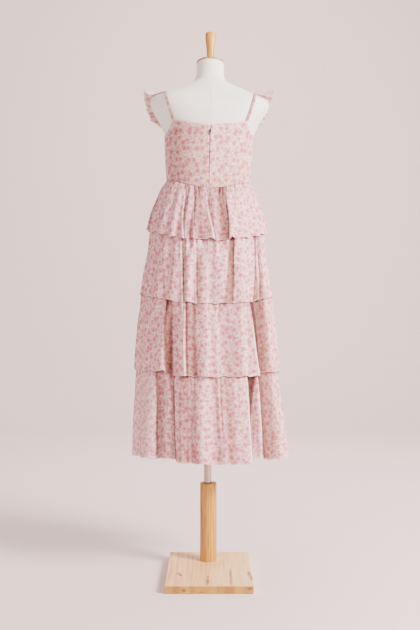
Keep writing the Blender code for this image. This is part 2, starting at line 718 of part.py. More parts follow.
def lean_over(form):
    """The form's pieces and pivots, moved from upright to where they hang."""
    for child in form.children:
        if child.type == "MESH":
            for vertex in child.data.vertices:
                vertex.co = hang(vertex.co)
        else:
            child.location = hang(child.location)


def combine(piece, tool, operation):
    """A Boolean of a piece with a tool that the part leaves out."""
    tool.hide_render = True
    tool.display_type = "WIRE"
    modifier = piece.modifiers.new(tool.name, "BOOLEAN")
    modifier.operation = operation
    modifier.object = tool


def join(piece, tool):
    """The piece with the tool's shape added."""
    combine(piece, tool, "UNION")


def cut(piece, tool):
    """The piece with the tool's shape taken away."""
    combine(piece, tool, "DIFFERENCE")


def empty(name, parent=None):
    """An empty that other objects are placed by."""
    holder = bpy.data.objects.new(name, None)
    bpy.context.scene.collection.objects.link(holder)
    holder.parent = parent
    return holder


def build():
    """The whole part."""
    for old in list(bpy.data.objects):
        bpy.data.objects.remove(old, do_unlink=True)
    wood = make_material("stand_wood", (0.72, 0.52, 0.34), 0.45)
    steel = make_material("pole_steel", (0.62, 0.58, 0.54), 0.3, 1.0)
    linen = make_material("form_linen", (0.84, 0.81, 0.78), 0.85)
    chiffon = make_material("printed_chiffon", (0.84, 0.62, 0.62), 0.7)
    tape = make_material("zip_tape", (0.55, 0.44, 0.42), 0.6)
    metal = make_material("zip_metal", (0.45, 0.41, 0.39), 0.35, 1.0)

    stand = empty("stand_axis")
    form = empty("form_axis")
    form.rotation_euler = (0.0, 0.0, TURN)
    pull_pivot = empty("pull_pivot", form)

    build_stand(wood, steel, stand)
    build_form(linen, wood, form)
    build_bodice(chiffon, form)
    build_underskirt(chiffon, form)
    build_tiers(chiffon, form)
    for name, side in (("left", -1), ("right", 1)):
        build_strap("strap_" + name, side, 26, chiffon, form)
        build_ruffle("ruffle_" + name, side, 36, chiffon, form)
    build_zip(metal, tape, form, pull_pivot)
    lean_over(form)


build()
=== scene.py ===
"""Looks for the tiered chiffon sundress on its dress form.

Cloth shells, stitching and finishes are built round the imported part, in its own frame:
metres, +Z up, the back of the dress towards -Y. Angles run round the dress from the
centre back (0) through the +X side (90 degrees) to the centre front (180 degrees).
"""
from collections import namedtuple
from math import copysign, cos, pi, radians, sin, tan

import bmesh
import bpy
import numpy as np
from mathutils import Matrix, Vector

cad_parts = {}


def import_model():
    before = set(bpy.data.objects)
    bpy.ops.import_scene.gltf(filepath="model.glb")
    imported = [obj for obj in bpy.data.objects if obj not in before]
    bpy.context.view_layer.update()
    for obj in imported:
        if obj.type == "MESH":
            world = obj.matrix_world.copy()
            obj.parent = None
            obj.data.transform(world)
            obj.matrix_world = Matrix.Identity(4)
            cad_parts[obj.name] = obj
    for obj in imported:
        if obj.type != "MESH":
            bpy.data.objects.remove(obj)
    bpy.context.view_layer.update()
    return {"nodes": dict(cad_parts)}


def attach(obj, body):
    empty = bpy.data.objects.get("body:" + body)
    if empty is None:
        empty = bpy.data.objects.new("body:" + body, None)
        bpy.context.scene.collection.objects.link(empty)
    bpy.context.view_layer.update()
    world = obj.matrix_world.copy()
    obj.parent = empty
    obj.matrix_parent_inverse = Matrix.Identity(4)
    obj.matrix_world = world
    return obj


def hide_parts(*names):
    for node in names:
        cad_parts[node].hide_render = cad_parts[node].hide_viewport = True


# Sizes that the cloth shares with the part
SEAM = 0.0004
CLOTH = 0.0015
TURN = radians(2.0)
LEAN = tan(radians(1.1))
TIER_CLEARANCE = 0.0016
FOLD_DEPTH = 1.06
GATHER_SHARE = 0.12
STRAP_WIDTH = 0.008
STRAP_GAP = 0.0014
ZIP_HALF_WIDTH = 0.0012
ZIP_TOP = 1.381
NECK_TOP = 1.612
NECK_TILT = radians(8.0)
NECK_FOOT = 1.549
BODICE_WAIST_SIDE = 1.2297
BODICE_WAIST_CENTRE = 1.2035
BASE_NEAR = -0.2712

# Sizes of the finer cloth
CHIFFON = 0.0005         # wall of the shown cloth
HEM_ROLL = 0.0034        # height of the narrow rolled hem
HEM_WAVES = (0.0016, 0.0012)
HEM_SHADE = 0.42         # how dark the cloth is just under the hem above it
HEM_SHADOW = 0.0040      # how far a hem's shadow falls on the cloth under it
TIER_COLUMNS = 640
TORSO_COLUMNS = 200
FORM_FOOT = 0.8806       # lowest and highest rings of the form's cover
NECK_RIM = 1.6113
UNDERSKIRT_HEM = 0.6902
LINED = 0.00035          # wall of the bodice's shown cloth


def table(kind, *rows):
    """A list of rows that are all of one kind."""
    return [kind(*row) for row in rows]


Section = namedtuple("Section", "z half_width back front squareness")
Profile = namedtuple("Profile", "drop half_width back front")
Fold = namedtuple("Fold", "crest_deg crest_mm trough_deg trough_mm")
EdgePoint = namedtuple("EdgePoint", "angle_deg z")
Hang = namedtuple("Hang", "z aside")
Crease = namedtuple("Crease", "seam_deg hem_deg height_mm ridge_deg trough_deg first last")
Band = namedtuple("Band", "seam_from seam_to hem_from hem_to shade soft")
HemLift = namedtuple("HemLift", "line_deg rise_mm reach_deg")
Tier = namedtuple("Tier", "name seam_z hem_side hem_centre profile folds rows creases bands lifts flat")

HANG = table(
    Hang,
    (0.36, 0.004), (0.63, -0.005), (0.86, -0.0072), (0.95, -0.0062), (1.27, 0), (1.72, 0.0086))
FORM = table(
    Section,
    (0.880, 0.1500, 0.112, 0.096, 2.20),
    (0.905, 0.1560, 0.118, 0.100, 2.20),
    (0.970, 0.1640, 0.122, 0.106, 2.20),
    (1.050, 0.1490, 0.110, 0.104, 2.20),
    (1.120, 0.1270, 0.092, 0.094, 2.20),
    (1.170, 0.1180, 0.084, 0.088, 2.20),
    (1.220, 0.1200, 0.086, 0.095, 2.20),
    (1.280, 0.1270, 0.095, 0.112, 2.20),
    (1.340, 0.1330, 0.103, 0.126, 2.20),
    (1.375, 0.1390, 0.106, 0.122, 2.25),
    (1.405, 0.1520, 0.106, 0.112, 2.30),
    (1.435, 0.1680, 0.104, 0.102, 2.40),
    (1.460, 0.1830, 0.099, 0.092, 2.50),
    (1.477, 0.1895, 0.092, 0.083, 2.60),
    (1.493, 0.1880, 0.084, 0.074, 2.60),
    (1.504, 0.1700, 0.078, 0.067, 2.40),
    (1.516, 0.1430, 0.072, 0.060, 2.30),
    (1.529, 0.1120, 0.065, 0.053, 2.20),
    (1.543, 0.0750, 0.056, 0.048, 2.10),
    (1.557, 0.0510, 0.047, 0.045, 2.00),
    (1.580, 0.0435, 0.0435, 0.0435, 2.00),
    (NECK_TOP, 0.0435, 0.0435, 0.0435, 2.00),
)
BODICE = table(
    Section,
    (1.195, 0.1330, 0.0955, 0.1035, 2.20),
    (1.230, 0.1335, 0.0970, 0.1060, 2.20),
    (1.280, 0.1375, 0.1010, 0.1180, 2.20),
    (1.340, 0.1412, 0.1062, 0.1290, 2.20),
    (1.375, 0.1425, 0.1090, 0.1250, 2.25),
    (1.405, 0.1546, 0.1086, 0.1146, 2.30),
    (1.435, 0.1706, 0.1066, 0.1046, 2.40),
)
UNDERSKIRT = table(
    Section,
    (0.690, 0.1940, 0.1580, 0.1590, 2.00),
    (0.705, 0.1930, 0.1570, 0.1580, 2.00),
    (0.925, 0.1730, 0.1420, 0.1440, 2.00),
    (1.110, 0.1560, 0.1180, 0.1210, 2.00),
    (1.195, 0.1309, 0.0934, 0.1014, 2.20),
    (1.230, 0.1312, 0.0948, 0.1038, 2.20),
)
BACK_EDGE = table(
    EdgePoint,
    (0, 1.395), (43.5, 1.4135), (53, 1.397), (66, 1.381), (90, 1.373))
FRONT_EDGE = table(
    EdgePoint,
    (90, 1.373), (108, 1.378), (124, 1.396), (136, 1.426), (180, 1.408))
STRAP_BACK_X = 0.1150
STRAP_TOP_X = 0.1450
STRAP_FRONT_X = 0.1165
STRAP_BACK_BEARING = radians(-10.4)
STRAP_FRONT_BEARING = radians(181.3)

TIER_1_PROFILE = table(
    Profile,
    (0.025, 0.1475, 0.109, 0.116), (0.065, 0.163, 0.123, 0.129), (0.11, 0.179, 0.136, 0.141),
    (0.17, 0.19, 0.148, 0.152))
TIER_2_PROFILE = table(
    Profile,
    (0.062, 0.18, 0.148, 0.15), (0.14, 0.192, 0.156, 0.158), (0.22, 0.206, 0.163, 0.164),
    (0.27, 0.209, 0.166, 0.167))
TIER_3_PROFILE = table(
    Profile,
    (0.06, 0.206, 0.164, 0.165), (0.127, 0.2145, 0.169, 0.17), (0.2, 0.221, 0.175, 0.176),
    (0.3, 0.229, 0.181, 0.181))
TIER_4_PROFILE = table(
    Profile,
    (0.09, 0.2222, 0.177, 0.178), (0.176, 0.2306, 0.183, 0.184), (0.26, 0.2375, 0.188, 0.188),
    (0.35, 0.242, 0.192, 0.191))
TIER_1_FOLDS = table(
    Fold,
    (-172, 5, -163, -5), (-152, 6, -144, -4), (-134, 4, -127, -6), (-118, 7, -110, -4),
    (-101, 5, -94, -4), (-86, 6, -77, -4), (-68, 5, -60, -4), (-50, 5, -43, -3), (-36, 6, -29, -3),
    (-22, 8, -18, -7), (-13, 3, -6, -6), (6.5, 8, 12, -7), (22.5, 8, 30, 1), (37, 4, 46, -2),
    (55, 5, 64, -3), (73, 6, 82, -4), (91, 6, 100, -5), (110, 5, 119, -4), (128, 6, 137, -5),
    (147, 4, 155, -6), (165, 7, 176, -5))
TIER_2_FOLDS = table(
    Fold,
    (-173, 6, -165, -5), (-155, 5, -147, -5), (-138, 7, -129, -5), (-120, 5, -112, -6),
    (-103, 6, -95, -4), (-85, 5, -77, -3), (-67, 4, -58, -3), (-48, 3, -38, -5), (-31, 4, -24, 0),
    (-16.5, 8, -12, -7), (-2.5, 6, 4, -4), (15, 5, 24, -8), (32, 6, 38, 2), (48, 7, 52, -5),
    (57, 5, 64, -4), (80, 6, 90, -4), (100, 5, 109, -5), (119, 7, 128, -5), (137, 5, 146, -6),
    (157, 6, 173, -6))
TIER_3_FOLDS = table(
    Fold,
    (-171, 6, -162, -6), (-151, 7, -142, -6), (-132, 5, -124, -5), (-114, 7, -105, -5),
    (-96, 5, -87, -5), (-78, 6, -69, -3), (-58, 4, -50, -1), (-37, 9, -31.5, -9), (-18, 8, -11, -7),
    (-1, 6, 3, 0), (7, 4, 13.5, -5), (28, 8, 34, 1), (41, 10, 47.5, -10), (65, 5, 75, -4),
    (85, 6, 95, -5), (105, 6, 114, -5), (123, 8, 132, -6), (142, 5, 151, -6), (161, 7, 176, -6))
TIER_4_FOLDS = table(
    Fold,
    (-172, 8, -163, -8), (-153, 9, -144, -8), (-134, 8, -126, -8), (-116, 10, -107, -7),
    (-98, 7, -89, -6), (-80, 7, -70, -4), (-51, 11, -41.5, -9), (-35, -2, -29, -12),
    (-21.5, 5, -14.5, -9), (-6, 8, 3.5, -5), (9, 7, 13.5, -6), (29, 11, 35, -12), (41.5, 7, 47.5, -8),
    (66, 9, 77, -5), (87, 8, 97, -7), (107, 8, 116, -8), (126, 10, 136, -8), (146, 8, 155, -8),
    (166, 9, 177, -7))

# Creases where the cloth steps over itself: a ridge on one side of a line and a trough on
# the other. A positive ridge_deg puts the ridge before the line, a negative one after it.
TIER_1_CREASES = table(
    Crease,
    (-58, -45, 0.8, -4, 3, 0, 1), (-31.6, -22, 4, 2.2, 2.6, 0, 1), (-20, -12, 1.9, 1.6, 2.4, 0, 0.75),
    (-4, 5.4, 3.6, 2.2, 4.5, 0, 1), (21, 18.4, 1.9, -4.5, 3, 0.3, 1), (43.5, 40, 1, 1.8, 1.8, 0, 0.4),
    (66, 58, 1.4, 3.5, 3, 0, 1))
TIER_2_CREASES = table(
    Crease,
    (-53, -39, 1.3, -4, 3, 0, 1), (-28.3, -20.4, 3.5, 2.2, 3.2, 0, 1), (-13.5, -9.2, 2.7, 1.8, 2, 0, 1),
    (0.6, -0.6, 1.4, 1.4, 1.8, 0, 0.7), (27.5, 22.8, 2.2, -4.5, 3, 0, 1),
    (54, 40.5, 2.8, 1.6, 1.6, 0, 1), (58.5, 51.8, 3.2, 1.8, 3, 0, 1))
TIER_3_CREASES = table(
    Crease,
    (-39.2, -34, 4.2, 3.4, 3, 0, 1), (-19.5, -16.5, 3.6, 2.8, 2, 0, 1), (-12.5, -6.3, 0.6, -3, 2, 0, 1),
    (-0.5, -0.5, 1.6, 1.8, 1.6, 0, 0.35), (11.5, -1, 1.9, 1.4, 1.8, 0, 0.3),
    (36, 31.5, 2.6, 3.2, 1.4, 0, 1), (37.2, 41, 5.2, 1.8, 3.4, 0, 1), (-62, -57, 0.8, 3, 3, 0.1, 1))
TIER_4_CREASES = table(
    Crease,
    (-45.9, -44.3, 4, 3.6, 4.6, 0, 0.9), (-29, -28, 5, -3.2, 2, 0, 0.8),
    (-10.6, -11.4, 1.8, -3.5, 2.5, 0, 1), (2.2, 2, 1.2, 3, 2, 0, 1), (8.4, 7.4, 2.6, 1.4, 1.8, 0, 0.6),
    (22.5, 20, 1.6, 1.6, 1.2, 0, 0.35), (31.4, 29, 5, 2.4, 2.2, 0, 1), (42.8, 39.8, 3.4, 1.6, 3, 0, 1),
    (-70, -63, 1, 3.5, 3, 0, 1))

# Where the cloth between two lines lies in shade. The last edge fades over soft degrees, or the
# first edge where soft is negative.
TIER_1_BANDS = table(
    Band,
    (-90, -57, -90, -45, 0.06, 3), (-30.2, -25.4, -21.2, -17.2, 0.36, 1),
    (-26.5, -18, -19.5, -14, 0.26, 2), (-18, -8, -12, -3, 0.5, 3), (-3, 21.3, 6, 19, 0.4, 1),
    (8, 21.3, 14, 19, 0.34, -4), (-13, -9, -10, -6, 0.3, 1.5))
TIER_2_BANDS = table(
    Band,
    (-90, -52, -90, -39.5, 0.05, 1.5), (-28, -22.5, -20.6, -16, 0.3, 1.5), (1, 8, 1, 7, 0.3, 2),
    (22, 27.3, 13.2, 22.6, 0.88, -1.2), (54, 58, 41.5, 49, 0.8, 1), (58.5, 68, 53, 62, 0.65, 5))
TIER_3_BANDS = table(
    Band,
    (-38.9, -32.8, -33.7, -28.6, 0.84, 1.2), (-19.3, -12.8, -16.3, -8, 0.78, 1),
    (10, 27, 8, 26, 0.42, 3), (37.4, 60, 41.4, 58, 0.95, 5), (36.4, 41.4, 41.2, 43.4, 2.2, 0.8))
TIER_4_BANDS = table(
    Band,
    (-90, -46.6, -90, -45.2, -0.3, 1), (-45.5, -28.2, -44, -27.8, 0.26, 1),
    (-45.5, -39, -44, -38, 0.1, 4), (-29.4, -27.6, -28.4, -26.8, 0.55, 0.5),
    (-27.4, -19, -26.8, -19, -0.08, 3), (-22.5, -16.2, -22.5, -16.8, 0.78, 0.8),
    (-16.5, -11, -17.5, -13.8, 0.32, 1), (2.3, 9, 2.3, 8, 0.12, 1.5), (9, 19, 8, 18, 0.5, 2),
    (31.8, 42.5, 29.2, 28, 1.8, 1), (32.8, 44, 30, 34, 0.46, 1), (43, 61, 40, 60, 0.8, 5),
    (43, 49, 40, 45, 0.4, 3))

# Where a hem hangs higher to one side of a fold's edge. A negative reach lifts it before the line.
TIER_1_LIFTS = table(
    HemLift,
    (20.5, 11, 8), (5.5, 6, -25), (150, 9, 9), (-120, 8, -10))
TIER_2_LIFTS = table(
    HemLift,
    (-35.9, 5, -12), (51, 5, 12), (128, 8, 12), (-150, 7, 10))
TIER_3_LIFTS = table(
    HemLift,
    (-34.8, 14, -15), (46, 9, 20), (135, 9, -14), (-140, 8, 12))
TIER_4_LIFTS = table(
    HemLift,
    (-27.4, 11, -40), (34.5, 16, 16), (145, 10, 16), (-130, 9, -14))
TIERS = table(
    Tier,
    ("tier_1", None, 1.077, 1.034, TIER_1_PROFILE, TIER_1_FOLDS, (0.14, 0.38, 0.68, 1.0),
     TIER_1_CREASES, TIER_1_BANDS, TIER_1_LIFTS, (1.42, 0.175)),
    ("tier_2", 1.110, 0.869, 0.843, TIER_2_PROFILE, TIER_2_FOLDS, (0.33, 0.67, 1.0),
     TIER_2_CREASES, TIER_2_BANDS, TIER_2_LIFTS, (1.55, 0.262)),
    ("tier_3", 0.925, 0.632, 0.622, TIER_3_PROFILE, TIER_3_FOLDS, (0.33, 0.67, 1.0),
     TIER_3_CREASES, TIER_3_BANDS, TIER_3_LIFTS, (1.70, 0.305)),
    ("tier_4", 0.705, 0.359, 0.362, TIER_4_PROFILE, TIER_4_FOLDS, (0.26, 0.62, 1.0),
     TIER_4_CREASES, TIER_4_BANDS, TIER_4_LIFTS, (1.85, 0.352)))
WAIST_GATHERS = (-51.7, -31.3, -17.6, -11.8, 13.0, 16.5, 21.2, 24.5, 28.0, 33.7, 43.5, 49.5)
GATHERS = 120            # small gathers in each tier
HIDDEN_CREASES = (84.0, 278.0, 17)   # first and last bearing and number, on the far side
BODICE_DRAGS = 26        # slight drags across a bodice panel
SCATTER_SEED = 41
CREASE_WANDER = 0.3      # how far a crease's line wavers, in degrees
CREASE_TURN = 0.55       # how sharply the cloth steps over itself, in degrees
SHARP_RIDGE = 3.0        # a ridge narrower than this, in degrees, has a bright edge
DEEPEST_SHADE = -1.8
SIDE_DEG = (74.0, 94.0)  # where the seen side gives way to the far one
DEPTH_FOR_FULL_SHADE = 0.0090
DRAWN_FOR_FULL_SHADE = 0.0028
RIM_SHADE = 0.35         # how dark the lower rim of a rolled hem is
ROLL_HEIGHT = 0.0006     # how far a rolled hem stands out
ROOM_UNDER = 0.0011      # between a tier and the one over it
ROOM_OUTSIDE = 0.0010    # between a tier and the plain skirt
ZIP_GAP = 0.0010         # from the zip's middle to each fold's edge, at its lower end
ZIP_PUCKER = 0.0009      # height of the small puckers beside the zip
ZIP_REACH = 0.006        # how far from the zip the panels' cloth is drawn to it
BODICE_RADIUS = 0.1384   # of the round that turns a width at the seams into an angle
LEFT_SHADE = -0.20       # the left back panel turns from the light
BINDING = 0.0005         # how far the bound top edge stands out


# Smooth curves and rings
def eased(stops, values, at):
    """A smooth curve through the values at the stops, which never overshoots them."""
    stops, values = np.asarray(stops, float), np.asarray(values, float)
    shape = (-1,) + (1,) * (values.ndim - 1)
    step = np.diff(stops).reshape(shape)
    rise = np.diff(values, axis=0) / step
    slope = np.concatenate([rise[:1], rise])
    before, after = rise[:-1], rise[1:]
    turning = before * after <= 0.0
    total = np.where(turning, 1.0, before + after)
    slope[1:-1] = np.where(turning, 0.0, 2.0 * before * after / total)
    at = np.clip(np.asarray(at, float), stops[0], stops[-1])
    span = np.clip(np.searchsorted(stops, at, side="right") - 1, 0, len(stops) - 2)
    share_shape = at.shape + (1,) * (values.ndim - 1)
    width = step.reshape(-1)[span].reshape(share_shape)
    share = ((at - stops[span]) / np.diff(stops)[span]).reshape(share_shape)
    low, high = values[span], values[span + 1]
    curve = low * (2 * share ** 3 - 3 * share ** 2 + 1) + high * (3 * share ** 2 - 2 * share ** 3)
    bend = slope[span] * (share ** 3 - 2 * share ** 2 + share) + slope[span + 1] * (share ** 3 - share ** 2)
    return curve + bend * width


def column(rows, field):
    """One named column of a table."""
    return np.array([getattr(row, field) for row in rows], float)


def read(rows, key, field, at):
    """A table's field, read smoothly where its key has the given values."""
    return eased(column(rows, key), column(rows, field), at)


def joined(x, y, z):
    """Points from their three coordinates."""
    return np.stack(np.broadcast_arrays(x, y, z), axis=-1)


def ring(half_width, back, front, squareness, angle):
    """Points of a rounded ring, as x and y."""
    power = 2.0 / squareness
    across, along = np.sin(angle), -np.cos(angle)
    depth = np.where(along < 0.0, back, front)
    return (half_width * np.sign(across) * np.abs(across) ** power,
            depth * np.sign(along) * np.abs(along) ** power)


def section_ring(rows, angle, z):
    """Points of a table's rings at their own heights."""
    sizes = [read(rows, "z", field, z) for field in ("half_width", "back", "front", "squareness")]
    return ring(*sizes, angle)


def profile_ring(profile, angle, drop):
    """Points of a tier's rings at their drops below the seam."""
    sizes = [np.interp(drop, column(profile, "drop"), column(profile, field))
             for field in ("half_width", "back", "front")]
    return ring(*sizes, 2.0, angle)


def away(x, y, distance):
    """The points moved away from the axis."""
    length = np.hypot(x, y)
    scale = 1.0 + distance / np.maximum(length, 1e-9)
    return x * scale, y * scale


def hang(points):
    """Upright points of the form or dress, where they really hang."""
    points = np.asarray(points, float)
    x = points[..., 0] + np.interp(points[..., 2], column(HANG, "z"), column(HANG, "aside"))
    z = points[..., 2] - points[..., 0] * LEAN
    y = points[..., 1]
    return joined(x * cos(TURN) - y * sin(TURN), x * sin(TURN) + y * cos(TURN), z)


def between_side_and_centre(angle, side, centre, power):
    """A height that changes from the side seams to the centre back and front."""
    return side + (centre - side) * np.abs(np.cos(angle)) ** power


def waist_height(angle):
    """Height of the seam between bodice and skirt."""
    return between_side_and_centre(angle, BODICE_WAIST_SIDE, BODICE_WAIST_CENTRE, 3.0)


def wrapped(degrees):
    """Angles brought to within half a turn of nought."""
    return (degrees + 180.0) % 360.0 - 180.0


def mix(low, high, share):
    """The value at a share of the way from low to high."""
    return low + (high - low) * share


def stepped(value, low, high):
    """An eased step from 0 at low to 1 at high."""
    share = np.clip((value - low) / (high - low), 0.0, 1.0)
    return share * share * (3.0 - 2.0 * share)


# Folds, creases and gathers
def fold_height(folds, degrees):
    """How far a tier's hem stands out or in at each angle, in metres."""
    turns = []
    for fold in folds:
        turns.append((fold.crest_deg, fold.crest_mm))
        turns.append((fold.trough_deg, fold.trough_mm))
    turns.append((turns[0][0] + 360.0, turns[0][1]))
    stops = np.array([turn[0] for turn in turns])
    heights = np.array([turn[1] for turn in turns], float)
    bearing = (degrees - stops[0]) % 360.0 + stops[0]
    span = np.clip(np.searchsorted(stops, bearing, side="right") - 1, 0, len(stops) - 2)
    share = (bearing - stops[span]) / (stops[span + 1] - stops[span])
    eased_share = (1.0 - np.cos(pi * share)) / 2.0
    return (heights[span] + (heights[span + 1] - heights[span]) * eased_share) * FOLD_DEPTH / 1000.0


def crease_offsets(creases, degrees, share):
    """Each crease, the angles from its line towards its trough, and how much of it shows."""
    share = share[:, None]
    for crease in creases:
        line = mix(crease.seam_deg, crease.hem_deg, share)
        line = line + CREASE_WANDER * np.sin(share * 7.0 + crease.seam_deg)
        offset = wrapped(degrees - line) * copysign(1.0, crease.ridge_deg)
        shown = stepped(share, crease.first - 0.08, crease.first + 0.06)
        shown = shown * (1.0 - stepped(share, crease.last - 0.05, crease.last + 0.3))
        yield crease, offset, shown


def crease_height(creases, degrees, share):
    """Sharp creases, in metres, over a grid of angles and shares of the tier's height."""
    total = np.zeros((len(share), len(degrees)))
    for crease, offset, shown in crease_offsets(creases, degrees, share):
        reach = np.where(offset < 0.0, abs(crease.ridge_deg), crease.trough_deg)
        step = -np.tanh(offset / CREASE_TURN) * np.exp(-np.abs(offset) / reach)
        total += crease.height_mm * step * shown
    return total / 1000.0


def painted_crease_light(creases, degrees, share):
    """The painted highlight along the edge and the painted shade line of each sharp crease, from 1 down to
    -1.
    """
    total = np.zeros((len(share), len(degrees)))
    for crease, offset, shown in crease_offsets(creases, degrees, share):
        bright, under = (0.85, 0.75) if abs(crease.ridge_deg) < SHARP_RIDGE else (0.05, 0.10)
        edge = bright * np.exp(-((offset + 0.65) / 0.62) ** 2) - np.exp(-((offset - under) / 0.80) ** 2)
        total += min(crease.height_mm / 4.0, 1.3) * edge * shown
    return total


def band_shade(bands, degrees, share):
    """How deep in shade each tier's broad bands lie, from 0 to 1."""
    total = np.zeros((len(share), len(degrees)))
    bearing = wrapped(degrees)[None, :]
    for band in bands:
        first = mix(band.seam_from, band.hem_from, share[:, None])
        last = mix(band.seam_to, band.hem_to, share[:, None])
        near, far = (0.7, band.soft) if band.soft > 0.0 else (-band.soft, 0.7)
        inside = stepped(bearing - first, -near, near) * (1.0 - stepped(bearing - last, -far, far))
        total += band.shade * inside
    return total


def hem_rise(lifts, degrees):
    """How much higher the hem hangs at each angle, in metres."""
    total = np.zeros(len(degrees))
    for lift in lifts:
        offset = wrapped(degrees - lift.line_deg) * copysign(1.0, lift.reach_deg)
        beside = stepped(offset, -0.9, 0.9) * np.exp(-np.maximum(offset, 0.0) / abs(lift.reach_deg))
        total += lift.rise_mm * beside * (1.0 - stepped(offset, 60.0, 100.0))
    return total / 1000.0


def gather_height(seed, count, degrees, share):
    """Many small uneven gathers that start at the seam and fade out at their own depths."""
    chance = np.random.default_rng(seed)
    total = np.zeros((len(share), len(degrees)))
    for _ in range(count):
        place, width = chance.uniform(-180.0, 180.0), chance.uniform(0.6, 1.9)
        height, reach = chance.uniform(-0.9, 1.3), chance.uniform(0.15, 1.3) ** 1.6
        slant = chance.normal(0.0, 2.4)
        offset = wrapped(degrees[None, :] - place - slant * share[:, None])
        total += height * np.exp(-(offset / width) ** 2) * np.exp(-(share[:, None] / reach) ** 2)
    return (total - total.mean(axis=1, keepdims=True)) / 1000.0


def seam_gathers(seed, marks, degrees, share):
    """Close small valleys that are drawn in at the seam and soon smooth out."""
    chance = np.random.default_rng(seed)
    places = list(marks)
    place = -180.0
    while place < 180.0:
        places.append(place)
        place += chance.uniform(3.0, 8.0)
    total = np.zeros((len(share), len(degrees)))
    for number, place in enumerate(places):
        width, reach = chance.uniform(0.5, 0.95), chance.uniform(0.06, 0.20)
        depth = chance.uniform(0.6, 1.5)
        if number < len(marks):
            depth, reach = 2.0, 0.15
        offset = wrapped(degrees - place)[None, :] / width
        total -= depth * np.exp(-offset ** 2) * np.exp(-(share[:, None] / reach) ** 2)
    return total / 1000.0


def hidden_creases(seed, first_deg, last_deg, count):
    """Creases for the side that faces away, spaced and sized like those that are seen."""
    chance = np.random.default_rng(seed)
    creases = []
    for place in np.linspace(first_deg, last_deg, count):
        seam = place + chance.uniform(-3.0, 3.0)
        ridge = chance.uniform(2.2, 4.5) * chance.choice([-1.0, 1.0])
        creases.append(Crease(seam, seam + chance.uniform(-4.0, 4.0), chance.uniform(1.8, 4.2),
                              ridge, chance.uniform(2.0, 4.0), 0.0, 1.0))
    return creases


def blurred_round(values, width):
    """Rows averaged along a closed ring, over a window of that many columns."""
    window = np.hanning(width + 2)[1:-1]
    window = window / window.sum()
    reach = width // 2
    padded = np.concatenate([values[:, -reach:], values, values[:, :reach]], axis=1)
    return np.stack([np.convolve(row, window, mode="valid") for row in padded])


# Grids of cloth
def tier_rows(tier, angle, above):
    """The solid's own rows of upright points for a tier, from its seam to its hem."""
    if tier.seam_z is None:
        seam_z = waist_height(angle) - SEAM
        seam = section_ring(BODICE, angle, seam_z + SEAM)
    else:
        seam_z = np.full_like(angle, tier.seam_z)
        seam = away(*section_ring(UNDERSKIRT, angle, seam_z), CLOTH + SEAM)
    offset = fold_height(tier.folds, np.degrees(angle))
    hem_z = between_side_and_centre(angle, tier.hem_side, tier.hem_centre, 1.5)
    x, y = away(*seam, (offset - offset.min()) * GATHER_SHARE)
    rows = [joined(x, y, seam_z)]
    start_z = seam_z
    if above is not None:
        start_z = above[-1, :, 2] - 0.002
        x, y = away(*profile_ring(tier.profile, angle, seam_z - start_z), offset * 0.4)
        limit = np.hypot(above[-1, :, 0], above[-1, :, 1]) - CLOTH - TIER_CLEARANCE
        scale = np.minimum(1.0, limit / np.hypot(x, y))
        rows.append(joined(x * scale, y * scale, start_z))
    for row_share in tier.rows:
        z = start_z + (hem_z - start_z) * row_share
        drop = seam_z - z
        full = GATHER_SHARE + (1.0 - GATHER_SHARE) * (drop / (seam_z - hem_z)) ** 0.7
        x, y = away(*profile_ring(tier.profile, angle, drop), offset * full)
        rows.append(joined(x, y, z))
    return np.array(rows)


def tier_grid(tier, number, degrees, above):
    """A tier's upright points, with each row's share of the height, its shade and its rolled hem."""
    angle = np.radians(degrees)
    rows = tier_rows(tier, angle, above)
    seam_z, hem_z = rows[0, :, 2], rows[-1, :, 2]
    knots = ((seam_z - rows[:, :, 2]) / (seam_z - hem_z)).mean(axis=1)
    long = float((seam_z - hem_z).mean())
    roll = HEM_ROLL / long
    share = np.concatenate([np.linspace(0.0, 1.0 - 1.6 * roll, 46),
                            1.0 - roll * np.array([1.12, 1.0, 0.70, 0.40, 0.0])])
    if above is not None:
        passed = (seam_z - above[-1, :, 2]) / (seam_z - hem_z)
        in_shadow = np.linspace(passed.min(), passed.max() + 3.0 * HEM_SHADOW / long, 11)
        share = np.sort(np.concatenate([share, in_shadow]))
    grid = eased(knots, rows, share)
    creases = tier.creases + hidden_creases(SCATTER_SEED + number, *HIDDEN_CREASES)
    rise = stepped(share, -0.05, 0.35)[:, None] * 0.8 + 0.2
    height = crease_height(creases, degrees, share) * rise
    height += gather_height(SCATTER_SEED + 10 * number, GATHERS, degrees, share)
    marks = WAIST_GATHERS if above is None else ()
    drawn = seam_gathers(SCATTER_SEED + 20 * number, marks, degrees, share)
    height += drawn + 0.0004
    if above is None:
        height *= stepped(share, -0.03, 0.035)[:, None] * 0.8 + 0.2
    push_out(grid, height)
    hem_wave = HEM_WAVES[0] * np.sin(angle * 23.0 + number) + HEM_WAVES[1] * np.sin(angle * 41.0)
    hem_wave = hem_wave + hem_rise(tier.lifts, degrees)
    grid[:, :, 2] += hem_wave * stepped(share, 0.35, 1.0)[:, None]
    if above is not None:
        hold_under(grid, above)
    hold_outside(grid, angle)
    # Painted light for the fold attribute: painted shade and highlight from the folds, painted crease lines
    # and painted shade in the seam gathers.
    painted_light = painted_tier_light(tier, grid, degrees, share, above)
    painted_light += 0.80 * painted_crease_light(creases, degrees, share) * rise + drawn / DRAWN_FOR_FULL_SHADE
    hem = share > 1.0 - roll * 1.05
    band = hem.astype(float)
    if number < len(TIERS):
        # Painted shade on the lower rim of the rolled hem.
        painted_light[share > 1.0 - roll * 0.5] -= RIM_SHADE
        band[share > 1.0 - roll * 0.5] = 0.0
    rolled = hem * np.where(share > 1.0 - roll * 0.1, 0.2, 1.0)
    push_out(grid, np.outer(rolled, np.full(len(degrees), ROLL_HEIGHT)))
    return grid, share, np.clip(painted_light, DEEPEST_SHADE, 1.0), band


